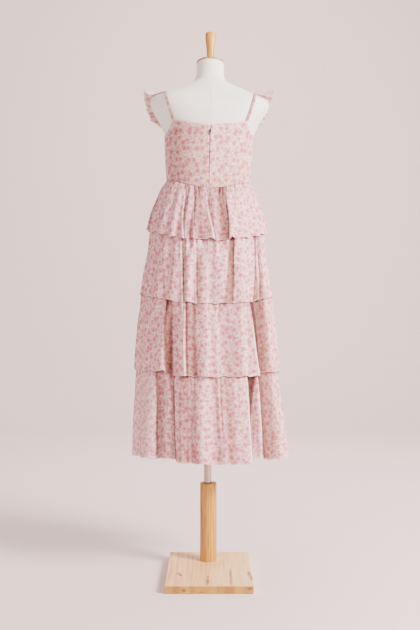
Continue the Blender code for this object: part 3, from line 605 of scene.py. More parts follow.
def painted_tier_light(tier, grid, degrees, share, above):
    """How far each point stands in the light (above 0) or lies in shade (below 0)."""
    radius = np.hypot(grid[:, :, 0], grid[:, :, 1])
    # Painted shade in the valleys between folds and weaker painted highlight on their ridges, fainter on
    # the seen back than on the far side.
    painted_light = (radius - blurred_round(radius, 41)) / DEPTH_FOR_FULL_SHADE
    painted_light = np.where(painted_light > 0.0, painted_light * 0.4, painted_light)
    painted_light *= 0.22 + 0.60 * stepped(np.abs(wrapped(degrees)), *SIDE_DEG)
    painted_light -= band_shade(tier.bands, degrees, share)
    # Painted shadow cast by the hem of the tier above.
    if above is not None:
        below = above[-1:, :, 2] - grid[:, :, 2]
        painted_light -= HEM_SHADE * np.exp(-np.maximum(below, 0.0) / HEM_SHADOW)
    return painted_light


def push_out(grid, height):
    """Moves a ring grid's points along their level outward direction."""
    along = np.roll(grid, -1, axis=1) - np.roll(grid, 1, axis=1)
    length = np.maximum(np.hypot(along[:, :, 0], along[:, :, 1]), 1e-9)
    grid[:, :, 0] += along[:, :, 1] / length * height
    grid[:, :, 1] -= along[:, :, 0] / length * height


def scale_round(grid, scale):
    """Moves a grid's points level, towards the axis or away from it."""
    grid[:, :, 0] *= scale
    grid[:, :, 1] *= scale


def hold_under(grid, above):
    """Keeps a tier inside the one above it, as far down as that one's hem."""
    z, radius = grid[:, :, 2], np.hypot(grid[:, :, 0], grid[:, :, 1])
    over_z, over_radius = above[::-1, :, 2], np.hypot(above[::-1, :, 0], above[::-1, :, 1])
    limit = np.stack([np.interp(*one) for one in zip(z.T, over_z.T, over_radius.T)], axis=1) - ROOM_UNDER
    end = over_z[0] - 0.0015
    limit = np.where(z > end, limit, limit + (end - z) * 0.9)
    scale_round(grid, np.minimum(1.0, limit / radius))


def hold_outside(grid, angle):
    """Keeps a tier outside the plain skirt that carries it."""
    low, high = UNDERSKIRT[0].z, UNDERSKIRT[-1].z
    least = np.hypot(*section_ring(UNDERSKIRT, angle, np.clip(grid[:, :, 2], low, high))) + ROOM_OUTSIDE
    radius = np.hypot(grid[:, :, 0], grid[:, :, 1])
    scale_round(grid, np.where(grid[:, :, 2] > low, np.maximum(1.0, least / radius), 1.0))


def add(name, data):
    """A new object in the scene."""
    made = bpy.data.objects.new(name, data)
    bpy.context.scene.collection.objects.link(made)
    return made


def cloth_mesh(name, grid, closed, across, down, values=()):
    """A sheet over a grid of points, with the cloth's own measure in metres as its UV map."""
    shape = grid.shape[:2]
    across, down = np.broadcast_to(across, shape), np.broadcast_to(down, shape)
    if closed:
        seam = across[:, :1] + (across[:, -1:] - across[:, -2:-1]) + across[:, -1:]
        across = np.concatenate([across, seam], axis=1)
        down = np.concatenate([down, down[:, :1]], axis=1)
    index = np.arange(grid.size // 3).reshape(shape)
    faces, corners = [], []
    for row in range(shape[0] - 1):
        for step in range(across.shape[1] - 1):
            after = (step + 1) % shape[1]
            faces.append((index[row, step], index[row + 1, step], index[row + 1, after], index[row, after]))
            corners += [(row, step), (row + 1, step), (row + 1, step + 1), (row, step + 1)]
    mesh = bpy.data.meshes.new(name)
    mesh.from_pydata(grid.reshape(-1, 3).tolist(), [], [tuple(int(i) for i in face) for face in faces])
    rows, steps = np.array(corners).T
    layer = mesh.uv_layers.new(name="cloth")
    layer.data.foreach_set("uv", np.stack([across[rows, steps], down[rows, steps]], axis=-1).ravel())
    for value_name, value in values:
        spread = np.broadcast_to(value, shape).astype(float)
        mesh.attributes.new(value_name, "FLOAT", "POINT").data.foreach_set("value", spread.ravel())
    mesh.shade_smooth()
    return add(name, mesh)


def close_ends(piece, sharp_deg):
    """Fills a tube's open ends and keeps their rims sharp."""
    mesh = bmesh.new()
    mesh.from_mesh(piece.data)
    bmesh.ops.holes_fill(mesh, edges=[edge for edge in mesh.edges if edge.is_boundary])
    bmesh.ops.recalc_face_normals(mesh, faces=mesh.faces)
    mesh.to_mesh(piece.data)
    mesh.free()
    piece.data.shade_smooth()
    piece.data.set_sharp_from_angle(angle=radians(sharp_deg))


def thicken(piece, wall):
    """Gives a sheet its wall, inwards."""
    solid = piece.modifiers.new("wall", "SOLIDIFY")
    solid.thickness = wall
    solid.offset = -1.0
    solid.use_even_offset = False


def run_along(line):
    """Distance along a line of points, from its first one."""
    steps = np.linalg.norm(np.diff(line, axis=0), axis=1)
    return np.concatenate([[0.0], np.cumsum(steps)])


def place(piece, body, slot, material, *nodes):
    """Gives a piece its finish and its body, and hides the solids it stands for."""
    piece.data.materials.clear()
    piece.data.materials.append(material)
    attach(piece, body)
    if nodes:
        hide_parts(*nodes)


# Geometry node trees
def repeat_tree(name, shape):
    """A tree that sets one small shape along a curve at a spacing: 'bead' or 'block'."""
    tree = bpy.data.node_groups.new(name, "GeometryNodeTree")
    for socket, kind in (("Path", "NodeSocketGeometry"), ("Spacing", "NodeSocketFloat"),
                         ("Size", "NodeSocketVector"), ("Material", "NodeSocketMaterial")):
        tree.interface.new_socket(socket, in_out="INPUT", socket_type=kind)
    tree.interface.new_socket("Mesh", in_out="OUTPUT", socket_type="NodeSocketGeometry")
    start, end = tree.nodes.new("NodeGroupInput"), tree.nodes.new("NodeGroupOutput")
    points = tree.nodes.new("GeometryNodeCurveToPoints")
    points.mode = "LENGTH"
    turn = tree.nodes.new("FunctionNodeAlignRotationToVector")
    turn.axis = "Z"
    if shape == "bead":
        seed = tree.nodes.new("GeometryNodeMeshIcoSphere")
        seed.inputs["Subdivisions"].default_value = 1
        seed.inputs["Radius"].default_value = 0.5
    else:
        seed = tree.nodes.new("GeometryNodeMeshCube")
    copies = tree.nodes.new("GeometryNodeInstanceOnPoints")
    real = tree.nodes.new("GeometryNodeRealizeInstances")
    finish = tree.nodes.new("GeometryNodeSetMaterial")
    for source, output, target, socket in (
            (start, "Path", points, "Curve"), (start, "Spacing", points, "Length"),
            (points, "Points", copies, "Points"), (points, "Tangent", turn, "Vector"),
            (turn, "Rotation", copies, "Rotation"), (seed, "Mesh", copies, "Instance"),
            (start, "Size", copies, "Scale"), (copies, "Instances", real, "Geometry"),
            (real, "Geometry", finish, "Geometry"), (start, "Material", finish, "Material"),
            (finish, "Geometry", end, "Mesh")):
        tree.links.new(source.outputs[output], target.inputs[socket])
    return tree


def set_along(name, tree, points, closed, spacing, size, material, body, slot="printed_chiffon"):
    """A plain mesh of a tree's small shape, set along a line of points."""
    curve = bpy.data.curves.new(name, "CURVE")
    curve.dimensions = "3D"
    spline = curve.splines.new("POLY")
    spline.points.add(len(points) - 1)
    for point, co in zip(spline.points, points):
        point.co = (*co, 1.0)
    spline.use_cyclic_u = closed
    path = add(name + "_path", curve)
    nodes = path.modifiers.new("repeat", "NODES")
    nodes.node_group = tree
    values = {"Spacing": spacing, "Size": size, "Material": material}
    for item in tree.interface.items_tree:
        if item.in_out == "INPUT" and item.name in values:
            nodes[item.identifier] = values[item.name]
    shown = bpy.context.evaluated_depsgraph_get()
    mesh = bpy.data.meshes.new_from_object(path.evaluated_get(shown))
    mesh.name = name
    bpy.data.objects.remove(path, do_unlink=True)
    piece = add(name, mesh)
    place(piece, body, slot, material)
    return piece


# Shaders
def linear(red, green, blue):
    """A colour given in the 0 to 255 steps of a screen, as light."""
    values = []
    for step in (red, green, blue):
        share = step / 255.0
        values.append(share / 12.92 if share <= 0.04045 else ((share + 0.055) / 1.055) ** 2.4)
    return (*values, 1.0)


class Value:
    """A socket that adds, scales and compares as a number does."""

    def __init__(self, shader, socket):
        self.shader = shader
        self.socket = socket

    def math(self, operation, *others):
        """A Math node on this value and the others."""
        values = dict(enumerate([self, *others]))
        return self.shader.node("ShaderNodeMath", {"operation": operation}, values)

    def __add__(self, other):
        return self.math("ADD", other)

    def __sub__(self, other):
        return self.math("SUBTRACT", other)

    def __mul__(self, other):
        return self.math("MULTIPLY", other)

    def __truediv__(self, other):
        return self.math("DIVIDE", other)

    def __abs__(self):
        return self.math("ABSOLUTE")

    def __lt__(self, other):
        return self.math("LESS_THAN", other)

    def step(self, low, high):
        """0 below low, 1 above high, eased between. Low may be the greater."""
        return self.shader.node("ShaderNodeMapRange", {"interpolation_type": "SMOOTHSTEP"},
                                {"Value": self, "From Min": low, "From Max": high})


class Shader:
    """A material's or world's nodes, with the shader at their end."""

    def __init__(self, owner, end="Principled BSDF"):
        owner.use_nodes = True
        self.owner = owner
        self.tree = owner.node_tree
        self.end = self.tree.nodes[end]

    def node(self, kind, settings=None, values=None, out=0):
        """One node of a kind, with its settings, the values or links of its sockets, and its output."""
        made = self.tree.nodes.new(kind)
        for name, value in (settings or {}).items():
            setattr(made, name, value)
        for key, value in (values or {}).items():
            if isinstance(value, Value):
                self.tree.links.new(value.socket, made.inputs[key])
            else:
                made.inputs[key].default_value = value
        return Value(self, made.outputs[out])

    def mix(self, factor, low, high, blend="MIX"):
        """Two colours mixed by a factor."""
        return self.node("ShaderNodeMix", {"data_type": "RGBA", "blend_type": blend},
                         {0: factor, 6: low, 7: high}, out=2)

    def noise(self, vector, scale, detail=2.0):
        """A noise value."""
        return self.node("ShaderNodeTexNoise", None, {"Vector": vector, "Scale": scale, "Detail": detail})

    def place(self):
        """The piece's own coordinates in metres."""
        return self.node("ShaderNodeTexCoord", out="Object")

    def scaled(self, vector, x, y, z, shift=(0.0, 0.0, 0.0)):
        """A vector with each axis scaled, then moved."""
        values = {"Vector": vector, "Scale": (x, y, z), "Location": shift}
        return self.node("ShaderNodeMapping", None, values)

    def grain(self, x, y, z, scale, detail=3.0):
        """Noise in the piece's own metres, drawn out along the axes that have a small factor."""
        return self.noise(self.scaled(self.place(), x, y, z), scale, detail)

    def parts(self, vector):
        """The x, y and z of a vector."""
        made = self.node("ShaderNodeSeparateXYZ", None, {"Vector": vector})
        return [Value(self, socket) for socket in made.socket.node.outputs]

    def fixed(self, **values):
        """Values that are the same all over, on the shader's own sockets."""
        for name, value in values.items():
            self.end.inputs[name.replace("_", " ")].default_value = value

    def feed(self, **values):
        """What changes over the surface, into the shader's sockets."""
        for name, value in values.items():
            self.tree.links.new(value.socket, self.end.inputs[name.replace("_", " ")])

    def bump(self, height, distance, strength):
        """Height as a bump in the surface."""
        values = {"Height": height, "Distance": distance, "Strength": strength}
        self.feed(Normal=self.node("ShaderNodeBump", None, values, out="Normal"))


def new_material(name):
    """A new material's shader."""
    return Shader(bpy.data.materials.new(name))


def scattered(shader, uv, spacing, shift, randomness):
    """Nearest scattered motif: distance and bearing from its middle, and three chances of its own."""
    spread = shader.scaled(uv, 1.0 / spacing, 1.0 / spacing, 1.0, (shift, shift * 0.37, 0.0))
    distance = shader.node("ShaderNodeTexVoronoi", {"voronoi_dimensions": "2D"},
                           {"Vector": spread, "Scale": 1.0, "Randomness": randomness}, out="Distance")
    outputs = distance.socket.node.outputs
    middle = Value(shader, outputs["Position"])
    chances = shader.node("ShaderNodeSeparateColor", None, {"Color": Value(shader, outputs["Color"])})
    chances = [Value(shader, socket) for socket in chances.socket.node.outputs]
    local = shader.node("ShaderNodeVectorMath", {"operation": "SUBTRACT"}, {0: spread, 1: middle})
    x, y, _ = shader.parts(local)
    bearing = y.math("ARCTAN2", x) + chances[1] * (2.0 * pi)
    return distance, bearing, chances


def flowers(shader, uv, spacing, shift, small, large, petals, share):
    """Masks of scattered flowers, of their hearts, and the share of the way to their rims."""
    distance, bearing, chances = scattered(shader, uv, spacing, shift, 0.74)
    petal = abs((bearing * (petals / 2.0)).math("SINE"))
    rim = (chances[0] * (large - small) + small) * (petal * 0.12 + 0.90)
    reach = distance / rim
    shown = chances[2] < share
    return reach.step(1.06, 0.90) * shown, reach.step(0.42, 0.22) * shown, reach


def leaves(shader, uv, spacing, shift, length, width, share):
    """A mask of scattered pointed leaves."""
    distance, bearing, chances = scattered(shader, uv, spacing, shift, 0.9)
    along = abs(distance * bearing.math("COSINE")) / length
    across = abs(distance * bearing.math("SINE")) / width
    shape = along * along + across
    return shape.step(1.1, 0.8) * (chances[2] < share)


def chiffon(name, sheer, strength, pale, deep):
    """Printed chiffon: small rose flowers, buds and leaves on a ground between pale and deep, with painted
    shade and painted highlights from the fold attribute.
    """
    shader = new_material(name)
    uv = shader.node("ShaderNodeUVMap", {"uv_map": "cloth"})
    ground = shader.mix(shader.noise(uv, 60.0).step(0.35, 0.68), pale, deep)
    bloom, heart, reach = flowers(shader, uv, 0.0226, 3.1, 0.29, 0.40, 5, 1.0)
    bud, bud_heart, _ = flowers(shader, uv, 0.0122, 8.3, 0.25, 0.36, 4, 0.66)
    leaf = leaves(shader, uv, 0.0104, 5.7, 0.50, 0.26, 0.80)
    sprig = leaves(shader, uv, 0.0070, 1.9, 0.42, 0.34, 0.60)
    petal = shader.noise(uv, 420.0)
    rose = shader.mix((reach + petal * 0.5).step(0.55, 1.25), linear(188, 96, 112), linear(210, 128, 140))
    colour = ground
    for motif, weight, tint in ((sprig, 0.74, linear(206, 138, 138)), (leaf, 0.80, linear(174, 154, 128)),
                                (bud, 0.76, linear(206, 126, 142)), (bud_heart, 0.45, linear(176, 92, 104)),
                                (bloom, 0.87, rose), (heart, 0.45, linear(166, 80, 92))):
        colour = shader.mix(motif * (weight * strength), colour, tint)
    # The fold attribute carries painted light: below 0 painted shade, above 0 painted highlight.
    fold, band = [shader.node("ShaderNodeAttribute", {"attribute_name": value}, out="Fac")
                  for value in ("fold", "hem")]
    shade = (fold * (-1.0)).math("MAXIMUM", 0.0)
    # Painted shade: darker where fold is below 0, and darker again in the deepest creases.
    colour = shader.mix(shade.math("MINIMUM", 1.0), colour, linear(146, 122, 111), "MULTIPLY")
    colour = shader.mix((shade - 1.0).math("MAXIMUM", 0.0), colour, linear(138, 108, 97), "MULTIPLY")
    # Painted highlight: lighter towards white where fold is above 0, on the ridges.
    colour = shader.mix(fold.step(0.12, 0.85) * 0.64, colour, linear(252, 232, 232))
    colour = shader.mix(band * 0.26, colour, linear(246, 206, 204))
    shader.feed(Base_Color=colour)
    crinkle = shader.noise(shader.scaled(uv, 1.0, 0.35, 1.0), 900.0)
    threads = shader.noise(uv, 2600.0, 1.0)
    shader.bump(crinkle * 0.7 + threads * 0.3, 0.0004, 0.5)
    shader.feed(Alpha=(bloom * 0.08 + band * 0.08 + (1.0 - sheer)).math("MINIMUM", 1.0))
    shader.fixed(Roughness=0.62, Sheen_Weight=0.12, Sheen_Roughness=0.35, Specular_IOR_Level=0.2)
    shader.end.inputs["Sheen Tint"].default_value = linear(255, 238, 238)
    return shader.owner


def linen(name):
    """Off-white woven cover of the form, with its seams."""
    shader = new_material(name)
    uv = shader.node("ShaderNodeUVMap", {"uv_map": "cloth"})
    across, _, _ = shader.parts(uv)
    quarter = (across * 4.0 + 0.5).math("FRACT") - 0.5
    seam = abs(quarter).step(0.0085, 0.0025)
    weave = shader.grain(1.0, 1.0, 0.12, 420.0, 2.0) * 0.5 + shader.grain(0.12, 0.12, 1.0, 900.0, 2.0) * 0.5
    cloud = shader.noise(shader.place(), 9.0)
    colour = shader.mix(cloud.step(0.3, 0.7), linear(238, 230, 223), linear(233, 223, 215))
    colour = shader.mix(weave.step(0.42, 0.62) * 0.35, colour, linear(214, 206, 198))
    colour = shader.mix(seam * 0.32, colour, linear(206, 196, 188))
    shader.feed(Base_Color=colour)
    shader.bump(weave - seam * 0.8, 0.0005, 0.6)
    shader.fixed(Roughness=0.85, Sheen_Weight=0.25, Sheen_Roughness=0.5, Specular_IOR_Level=0.2)
    return shader.owner


Mark = namedtuple("Mark", "x y half_width half_length strength")
BASE_MARKS = table(
    Mark,
    (-0.0904, -0.15, 0.0075, 0.017, 0.75), (-0.085, -0.164, 0.0045, 0.013, 1),
    (-0.0007, -0.176, 0.0048, 0.01, 1), (-0.0009, -0.222, 0.0062, 0.04, 0.85),
    (0.0005, -0.13, 0.004, 0.006, 0.45), (0.069, -0.15, 0.005, 0.066, 0.8),
    (0.0675, -0.225, 0.0044, 0.048, 0.72), (0.124, -0.15, 0.0056, 0.03, 0.9),
    (0.129, -0.19, 0.0056, 0.03, 0.9), (-0.132, -0.04, 0.0026, 0.07, 0.55),
    (0.03, 0.06, 0.004, 0.01, 0.6), (-0.052, 0.01, 0.0016, 0.05, 0.5))
END_MARKS = table(
    Mark,
    (-0.0707, 0.0105, 0.007, 0.0056, 1), (0.121, 0.016, 0.009, 0.005, 1),
    (0.03, 0.011, 0.0012, 0.012, 0.5), (-0.02, 0.005, 0.012, 0.0022, 0.5))


def marked(across, along, marks):
    """How strongly any of the marks shows at a place on the board."""
    total = None
    for mark in marks:
        side = (across - mark.x) / mark.half_width
        length = (along - mark.y) / mark.half_length
        shape = (side * side + length * length).step(1.4, 0.1) * mark.strength
        total = shape if total is None else total.math("MAXIMUM", shape)
    return total


def board(name):
    """Pale pine whose grain runs from back to front, with knots and a darker cut end."""
    shader = new_material(name)
    x, y, z = shader.parts(shader.place())
    drift = shader.grain(1.0, 0.14, 1.0, 16.0)
    fine = shader.grain(1.0, 0.04, 1.0, 420.0)
    rings = ((x + drift * 0.06) * 420.0).math("SINE") * 0.5 + 0.5
    streak = shader.grain(1.0, 0.05, 1.0, 90.0).step(0.4, 0.7)
    colour = shader.mix(rings * 0.35 + streak * 0.45, linear(236, 188, 128), linear(204, 138, 76))
    patch = shader.grain(1.0, 0.3, 1.0, 11.0, 2.0)
    colour = shader.mix(patch.step(0.45, 0.7) * 0.45, colour, linear(242, 202, 150))
    marks = marked(x + drift * 0.012 - 0.006, y, BASE_MARKS)
    colour = shader.mix(marks * 0.95, colour, linear(140, 76, 28))
    cut = (y - BASE_NEAR).step(0.0016, 0.0006)
    end_rings = ((z + drift * 0.03) * 1300.0).math("SINE") * 0.5 + 0.5
    blocks = shader.grain(1.0, 0.0, 0.0, 26.0, 1.0).step(0.4, 0.62)
    end_colour = shader.mix(end_rings * 0.45 + blocks * 0.50, linear(192, 142, 66), linear(132, 84, 32))
    end_colour = shader.mix(marked(x, z, END_MARKS) * 0.8, end_colour, linear(106, 62, 32))
    colour = shader.mix(cut, colour, end_colour)
    shader.feed(Base_Color=colour)
    shader.feed(Roughness=fine * 0.16 + 0.42)
    shader.bump(fine * 0.6 + rings * 0.4 - marks * 0.8, 0.0003, 0.5)
    shader.fixed(Specular_IOR_Level=0.4)
    return shader.owner


def turned_wood(name, light, dark):
    """Beech or pine turned on a lathe, with its grain running up."""
    shader = new_material(name)
    drift = shader.grain(1.0, 1.0, 0.10, 22.0)
    fine = shader.grain(1.0, 1.0, 0.03, 620.0)
    x, y, _ = shader.parts(shader.place())
    rings = ((x * 0.8 + y * 0.6 + drift * 0.03) * 720.0).math("SINE") * 0.5 + 0.5
    pores = shader.grain(1.0, 1.0, 0.045, 190.0).step(0.50, 0.60)
    colour = shader.mix(rings * 0.5 + fine * 0.2, light, dark)
    colour = shader.mix(pores * 0.62, colour, linear(124, 80, 36))
    shader.feed(Base_Color=colour)
    shader.feed(Roughness=fine * 0.15 + 0.38)
    shader.bump(fine, 0.0002, 0.4)
    shader.fixed(Specular_IOR_Level=0.45, Coat_Weight=0.08, Coat_Roughness=0.3)
    return shader.owner


def drawn_steel(name):
    """Satin steel tube, brushed round."""
    shader = new_material(name)
    scratches = shader.grain(0.05, 0.05, 1.0, 2600.0, 2.0)
    haze = shader.noise(shader.place(), 30.0).step(0.3, 0.7)
    shader.feed(Base_Color=shader.mix(haze, linear(176, 163, 148), linear(158, 144, 130)))
    shader.feed(Roughness=scratches * 0.10 + 0.14)
    shader.bump(scratches, 0.00005, 0.4)
    shader.fixed(Metallic=1.0)
    return shader.owner


def plain(name, colour, roughness, metallic=0.0):
    """A small plain finish with a little cloud in its colour."""
    shader = new_material(name)
    cloud = shader.noise(shader.place(), 260.0)
    darker = tuple(part * 0.82 for part in colour[:3]) + (1.0,)
    shader.feed(Base_Color=shader.mix(cloud.step(0.35, 0.65), colour, darker))
    shader.feed(Roughness=cloud * 0.12 + (roughness - 0.06))
    shader.fixed(Metallic=metallic)
    return shader.owner


# The dress form
def build_torso(body, material):
    """The padded torso under its woven cover."""
    degrees = np.linspace(-180.0, 180.0, TORSO_COLUMNS, endpoint=False)
    angle = np.radians(degrees)
    heights = np.concatenate([np.linspace(FORM_FOOT, 1.44, 90), np.linspace(1.445, 1.60, 62),
                              [1.6065, NECK_RIM]])[::-1]
    rows = []
    for z in heights:
        x, y = section_ring(FORM, angle, np.full_like(angle, z))
        spine = -0.0030 * (1.0 - np.exp(-np.abs(x) / 0.03)) * stepped(-y, 0.0, 0.05)
        x, y = away(x, y, spine * stepped(1.56 - z, 0.0, 0.05))
        tilt = max(0.0, (z - NECK_FOOT) / (NECK_TOP - NECK_FOOT))
        rows.append(joined(x, y, z - y * tan(NECK_TILT) * tilt))
    soft_foot = np.array(rows[-1])
    for inset, drop in ((0.0016, 0.0004), (0.006, 0.0005)):
        x, y = away(soft_foot[:, 0], soft_foot[:, 1], -inset)
        rows.append(joined(x, y, soft_foot[:, 2] - drop))
    grid = hang(np.array(rows))
    torso = cloth_mesh("torso", grid, True, (degrees + 180.0) / 360.0, grid[:, :, 2])
    close_ends(torso, 50.0)
    place(torso, body, "form_linen", material, "form_torso")


# The skirt
def build_skirt(body, cloth, thread, stitch):
    """The plain skirt and four tiers with rolled, stitched hems."""
    degrees = np.linspace(-90.0, 270.0, 240, endpoint=False)
    angle = np.radians(degrees)
    rows = []
    waist = waist_height(angle) - SEAM
    for share in np.linspace(0.0, 1.0, 60):
        z = mix(waist, UNDERSKIRT_HEM, share)
        rows.append(joined(*section_ring(UNDERSKIRT, angle, z), z))
    down = -np.linspace(0.0, 0.52, len(rows))[:, None]
    skirt = cloth_mesh("underskirt_cloth", hang(np.array(rows)), True, run_along(rows[-1]), down)
    thicken(skirt, CHIFFON)
    place(skirt, body, "printed_chiffon", cloth, "underskirt")

    degrees = np.linspace(-90.0, 270.0, TIER_COLUMNS, endpoint=False)
    above = None
    for number, tier in enumerate(TIERS, 1):
        grid, share, fold, band = tier_grid(tier, number, degrees, above)
        down = -(share * tier.flat[1])[:, None]
        values = [("fold", fold), ("hem", band[:, None])]
        piece = cloth_mesh(tier.name + "_cloth", hang(grid), True, run_along(grid[-8]), down, values)
        thicken(piece, CHIFFON)
        place(piece, body, "printed_chiffon", cloth, tier.name)
        seam_line = np.array(grid[-4:-3])
        push_out(seam_line, np.full((1, len(degrees)), 0.00015))
        stitches = set_along(tier.name + "_hem_stitches", stitch, hang(seam_line)[0], True, 0.0042,
                             (0.0004, 0.0004, 0.0026), thread, body)
        carrier = "underskirt_cloth" if number > 1 else "bodice_front_cloth"
        above = grid


# The bodice
def bodice_grid(degrees, edge, share, zip_side):
    """Upright points of a bodice panel from its waist seam to its top edge, with soft drags in it."""
    angle = np.radians(degrees)
    bearing = np.minimum(np.abs(degrees), 360.0 - np.abs(degrees))
    top = np.interp(bearing, column(edge, "angle_deg"), column(edge, "z"))
    waist = waist_height(angle)
    z = waist[None, :] + (top - waist)[None, :] * share[:, None]
    x, y = section_ring(BODICE, np.tile(angle, (len(share), 1)), z)
    chance = np.random.default_rng(SCATTER_SEED + len(degrees))
    height = np.zeros_like(z)
    for _ in range(BODICE_DRAGS):
        middle, level = chance.uniform(degrees[0], degrees[-1]), chance.uniform(1.21, 1.40)
        tilt, long = chance.uniform(-0.6, 0.6), chance.uniform(9.0, 26.0)
        wide, depth = chance.uniform(0.004, 0.010), chance.uniform(-0.55, 0.45) / 1000.0
        aside = degrees[None, :] - middle
        upward = z - level - aside * tilt / 1000.0
        height += depth * np.exp(-(upward / wide) ** 2 - (aside / long) ** 2)
    if zip_side:
        near = np.abs(x)
        pucker = ZIP_PUCKER * np.sin(z * 2.0 * pi / 0.0125) * np.exp(-((near - 0.005) / 0.004) ** 2)
        height = height * stepped(near, 0.002, 0.012) + pucker
        height += 0.0007 * np.exp(-((near - 0.0050) / 0.0024) ** 2)
        height += 0.00045 * (1.0 - stepped(near, 0.0018, 0.0034))
        height -= 0.0018 * (1.0 - np.exp(-near / 0.018)) * (1.0 - stepped(bearing, 60.0, 84.0))[None, :]
        x = closed_over_zip(x, z)
    binding = stepped(z, top - 0.0062, top - 0.0052)
    height += BINDING * binding * (1.0 - 0.7 * stepped(z, top - 0.0008, top))
    height -= 0.0004 * (1.0 - stepped(share, 0.0, 0.02))[:, None]
    x, y = away(x, y, height)
    return joined(x, y, z), height, binding


def closed_over_zip(x, z):
    """The back panels' points by the zip, moved so that their folded edges nearly meet over its teeth."""
    start = ZIP_HALF_WIDTH + SEAM
    gap = ZIP_GAP + 0.0004 * stepped(z, 1.262, 1.300) + 0.0020 * stepped(z, 1.3690, 1.3722)
    near = np.abs(x)
    moved = gap + (near - start) * (ZIP_REACH - gap) / (ZIP_REACH - start)
    return np.where(near < ZIP_REACH, np.sign(x) * moved, x)


def build_bodice(body, cloth, thread, stitch):
    """Two back panels that meet at the zip, and the front, with bound top edges."""
    zip_deg = np.degrees(((ZIP_HALF_WIDTH + SEAM) / BODICE_RADIUS) ** 1.1)
    side_deg = 90.0 - np.degrees(SEAM / 2.0 / BODICE_RADIUS)
    share = np.concatenate([[0.0, 0.008, 0.02], np.linspace(0.05, 0.955, 52),
                            [0.968, 0.974, 0.98, 0.988, 0.995, 1.0]])
    corner = BACK_EDGE[1].angle_deg
    back = np.concatenate([np.linspace(zip_deg, 4.0, 16, endpoint=False),
                           np.linspace(4.0, corner, 60, endpoint=False), np.linspace(corner, side_deg, 64)])
    corner = FRONT_EDGE[3].angle_deg
    front = np.concatenate([np.linspace(180.0 - side_deg, corner, 60, endpoint=False),
                            np.linspace(corner, 360.0 - corner, 100, endpoint=False),
                            np.linspace(360.0 - corner, 180.0 + side_deg, 61)])
    panels = [("bodice_back_right", back, BACK_EDGE, True, (0.225, 0.215)),
              ("bodice_back_left", -back[::-1], BACK_EDGE, True, (0.225, 0.215)),
              ("bodice_front", front, FRONT_EDGE, False, (0.440, 0.225))]
    for name, degrees, edge, zip_side, flat in panels:
        grid, height, binding = bodice_grid(degrees, edge, share, zip_side)
        upright = grid[::-1]
        run = run_along(upright[len(share) // 2])
        across = run - run.mean() + (0.4 if name == "bodice_front" else 0.0)
        down = upright[:, :, 2] - 1.2
        # Painted light for the fold attribute: painted shade where the drags and puckers sink and over the
        # whole left back panel, and a little painted highlight on the back panels.
        shade = LEFT_SHADE if name == "bodice_back_left" else 0.0
        fold = np.clip((height[::-1] + (0.0012 if zip_side else 0.0)) / 0.0045 + shade, -1.0, 0.2)
        values = [("fold", fold), ("hem", binding[::-1] * 0.5)]
        piece = cloth_mesh(name + "_cloth", hang(upright), False, across, down, values)
        thicken(piece, LINED)
        place(piece, body, "printed_chiffon", cloth, name)
        line = np.array(grid[-6])
        line[:, 2] = grid[-1, :, 2] - 0.0050
        x, y = away(line[:, 0], line[:, 1], 0.0002)
        line = joined(x, y, line[:, 2])[2:-2]
        stitches = set_along(name + "_edge_stitches", stitch, hang(line), False, 0.0040,
                             (0.0004, 0.0004, 0.0025), thread, body)


# Straps and ruffles
def form_measure(point):
    """Below 1 inside the form, above 1 outside it."""
    heights = column(FORM, "z")
    half, back, front, square = [float(np.interp(point.z, heights, column(FORM, field)))
                                 for field in ("half_width", "back", "front", "squareness")]
    depth = back if point.y < 0.0 else front
    return (abs(point.x) / half) ** square + (abs(point.y) / depth) ** square


def strap_station(side, share):
    """A point of the form's surface under a strap, from its back end (0) to its front end (1)."""
    foot_x = mix(STRAP_BACK_X, STRAP_FRONT_X, share)
    start = Vector((side * mix(foot_x, STRAP_TOP_X, sin(pi * share)), -0.004, 1.430))
    bearing = mix(STRAP_BACK_BEARING, STRAP_FRONT_BEARING, share)
    direction = Vector((0.0, -cos(bearing), sin(bearing)))
    low, high = 0.0, 0.2
    for _ in range(26):
        middle = (low + high) / 2.0
        point = start + direction * middle
        if form_measure(point) < 1.0 and point.z < 1.6:
            low = middle
        else:
            high = middle
    return start + direction * high


def strap_frames(side, shares):
    """Points of a strap with their outward normals and sideways directions, smoothed along it."""
    points = np.array([strap_station(side, share) for share in shares])
    nudges = [Vector(axis) for axis in np.eye(3) * 0.002]
    normals = np.array([[form_measure(Vector(point) + nudge) - form_measure(Vector(point) - nudge)
                         for nudge in nudges] for point in points])
    kernel = np.hanning(9)[1:-1]
    kernel = kernel / kernel.sum()
    for values in (points, normals):
        padded = np.pad(values, ((3, 3), (0, 0)), mode="edge")
        for axis in range(3):
            values[2:-2, axis] = np.convolve(padded[:, axis], kernel, mode="valid")[2:-2]
    along = np.gradient(points, axis=0)
    along /= np.linalg.norm(along, axis=1, keepdims=True)
    normals -= along * (normals * along).sum(axis=1, keepdims=True)
    normals /= np.linalg.norm(normals, axis=1, keepdims=True)
    outward = np.cross(along, normals)
    outward *= np.sign(outward[:, :1] * side)
    return points, normals, outward


RuffleStation = namedtuple("RuffleStation", "share width lift")
RUFFLE = table(
    RuffleStation,
    (0.46, 0.04, 0.12), (0.51, 0.057, 0.2), (0.6, 0.061, 0.24), (0.74, 0.063, 0.26),
    (0.88, 0.056, 0.28), (0.985, 0.032, 0.3))
RUFFLE_COLUMNS = 150
RUFFLE_WAVES = 5.5
RUFFLE_WAVE_HEIGHT = 0.009
RUFFLE_PEAKS = {-1: 0.004, 1: 0.026}
RUFFLE_REACH = {-1: 1.0, 1: 0.86}
RUFFLE_LIGHT = {-1: 0.36, 1: -0.06}
STRAP_LIGHT = {-1: -0.20, 1: 0.20}


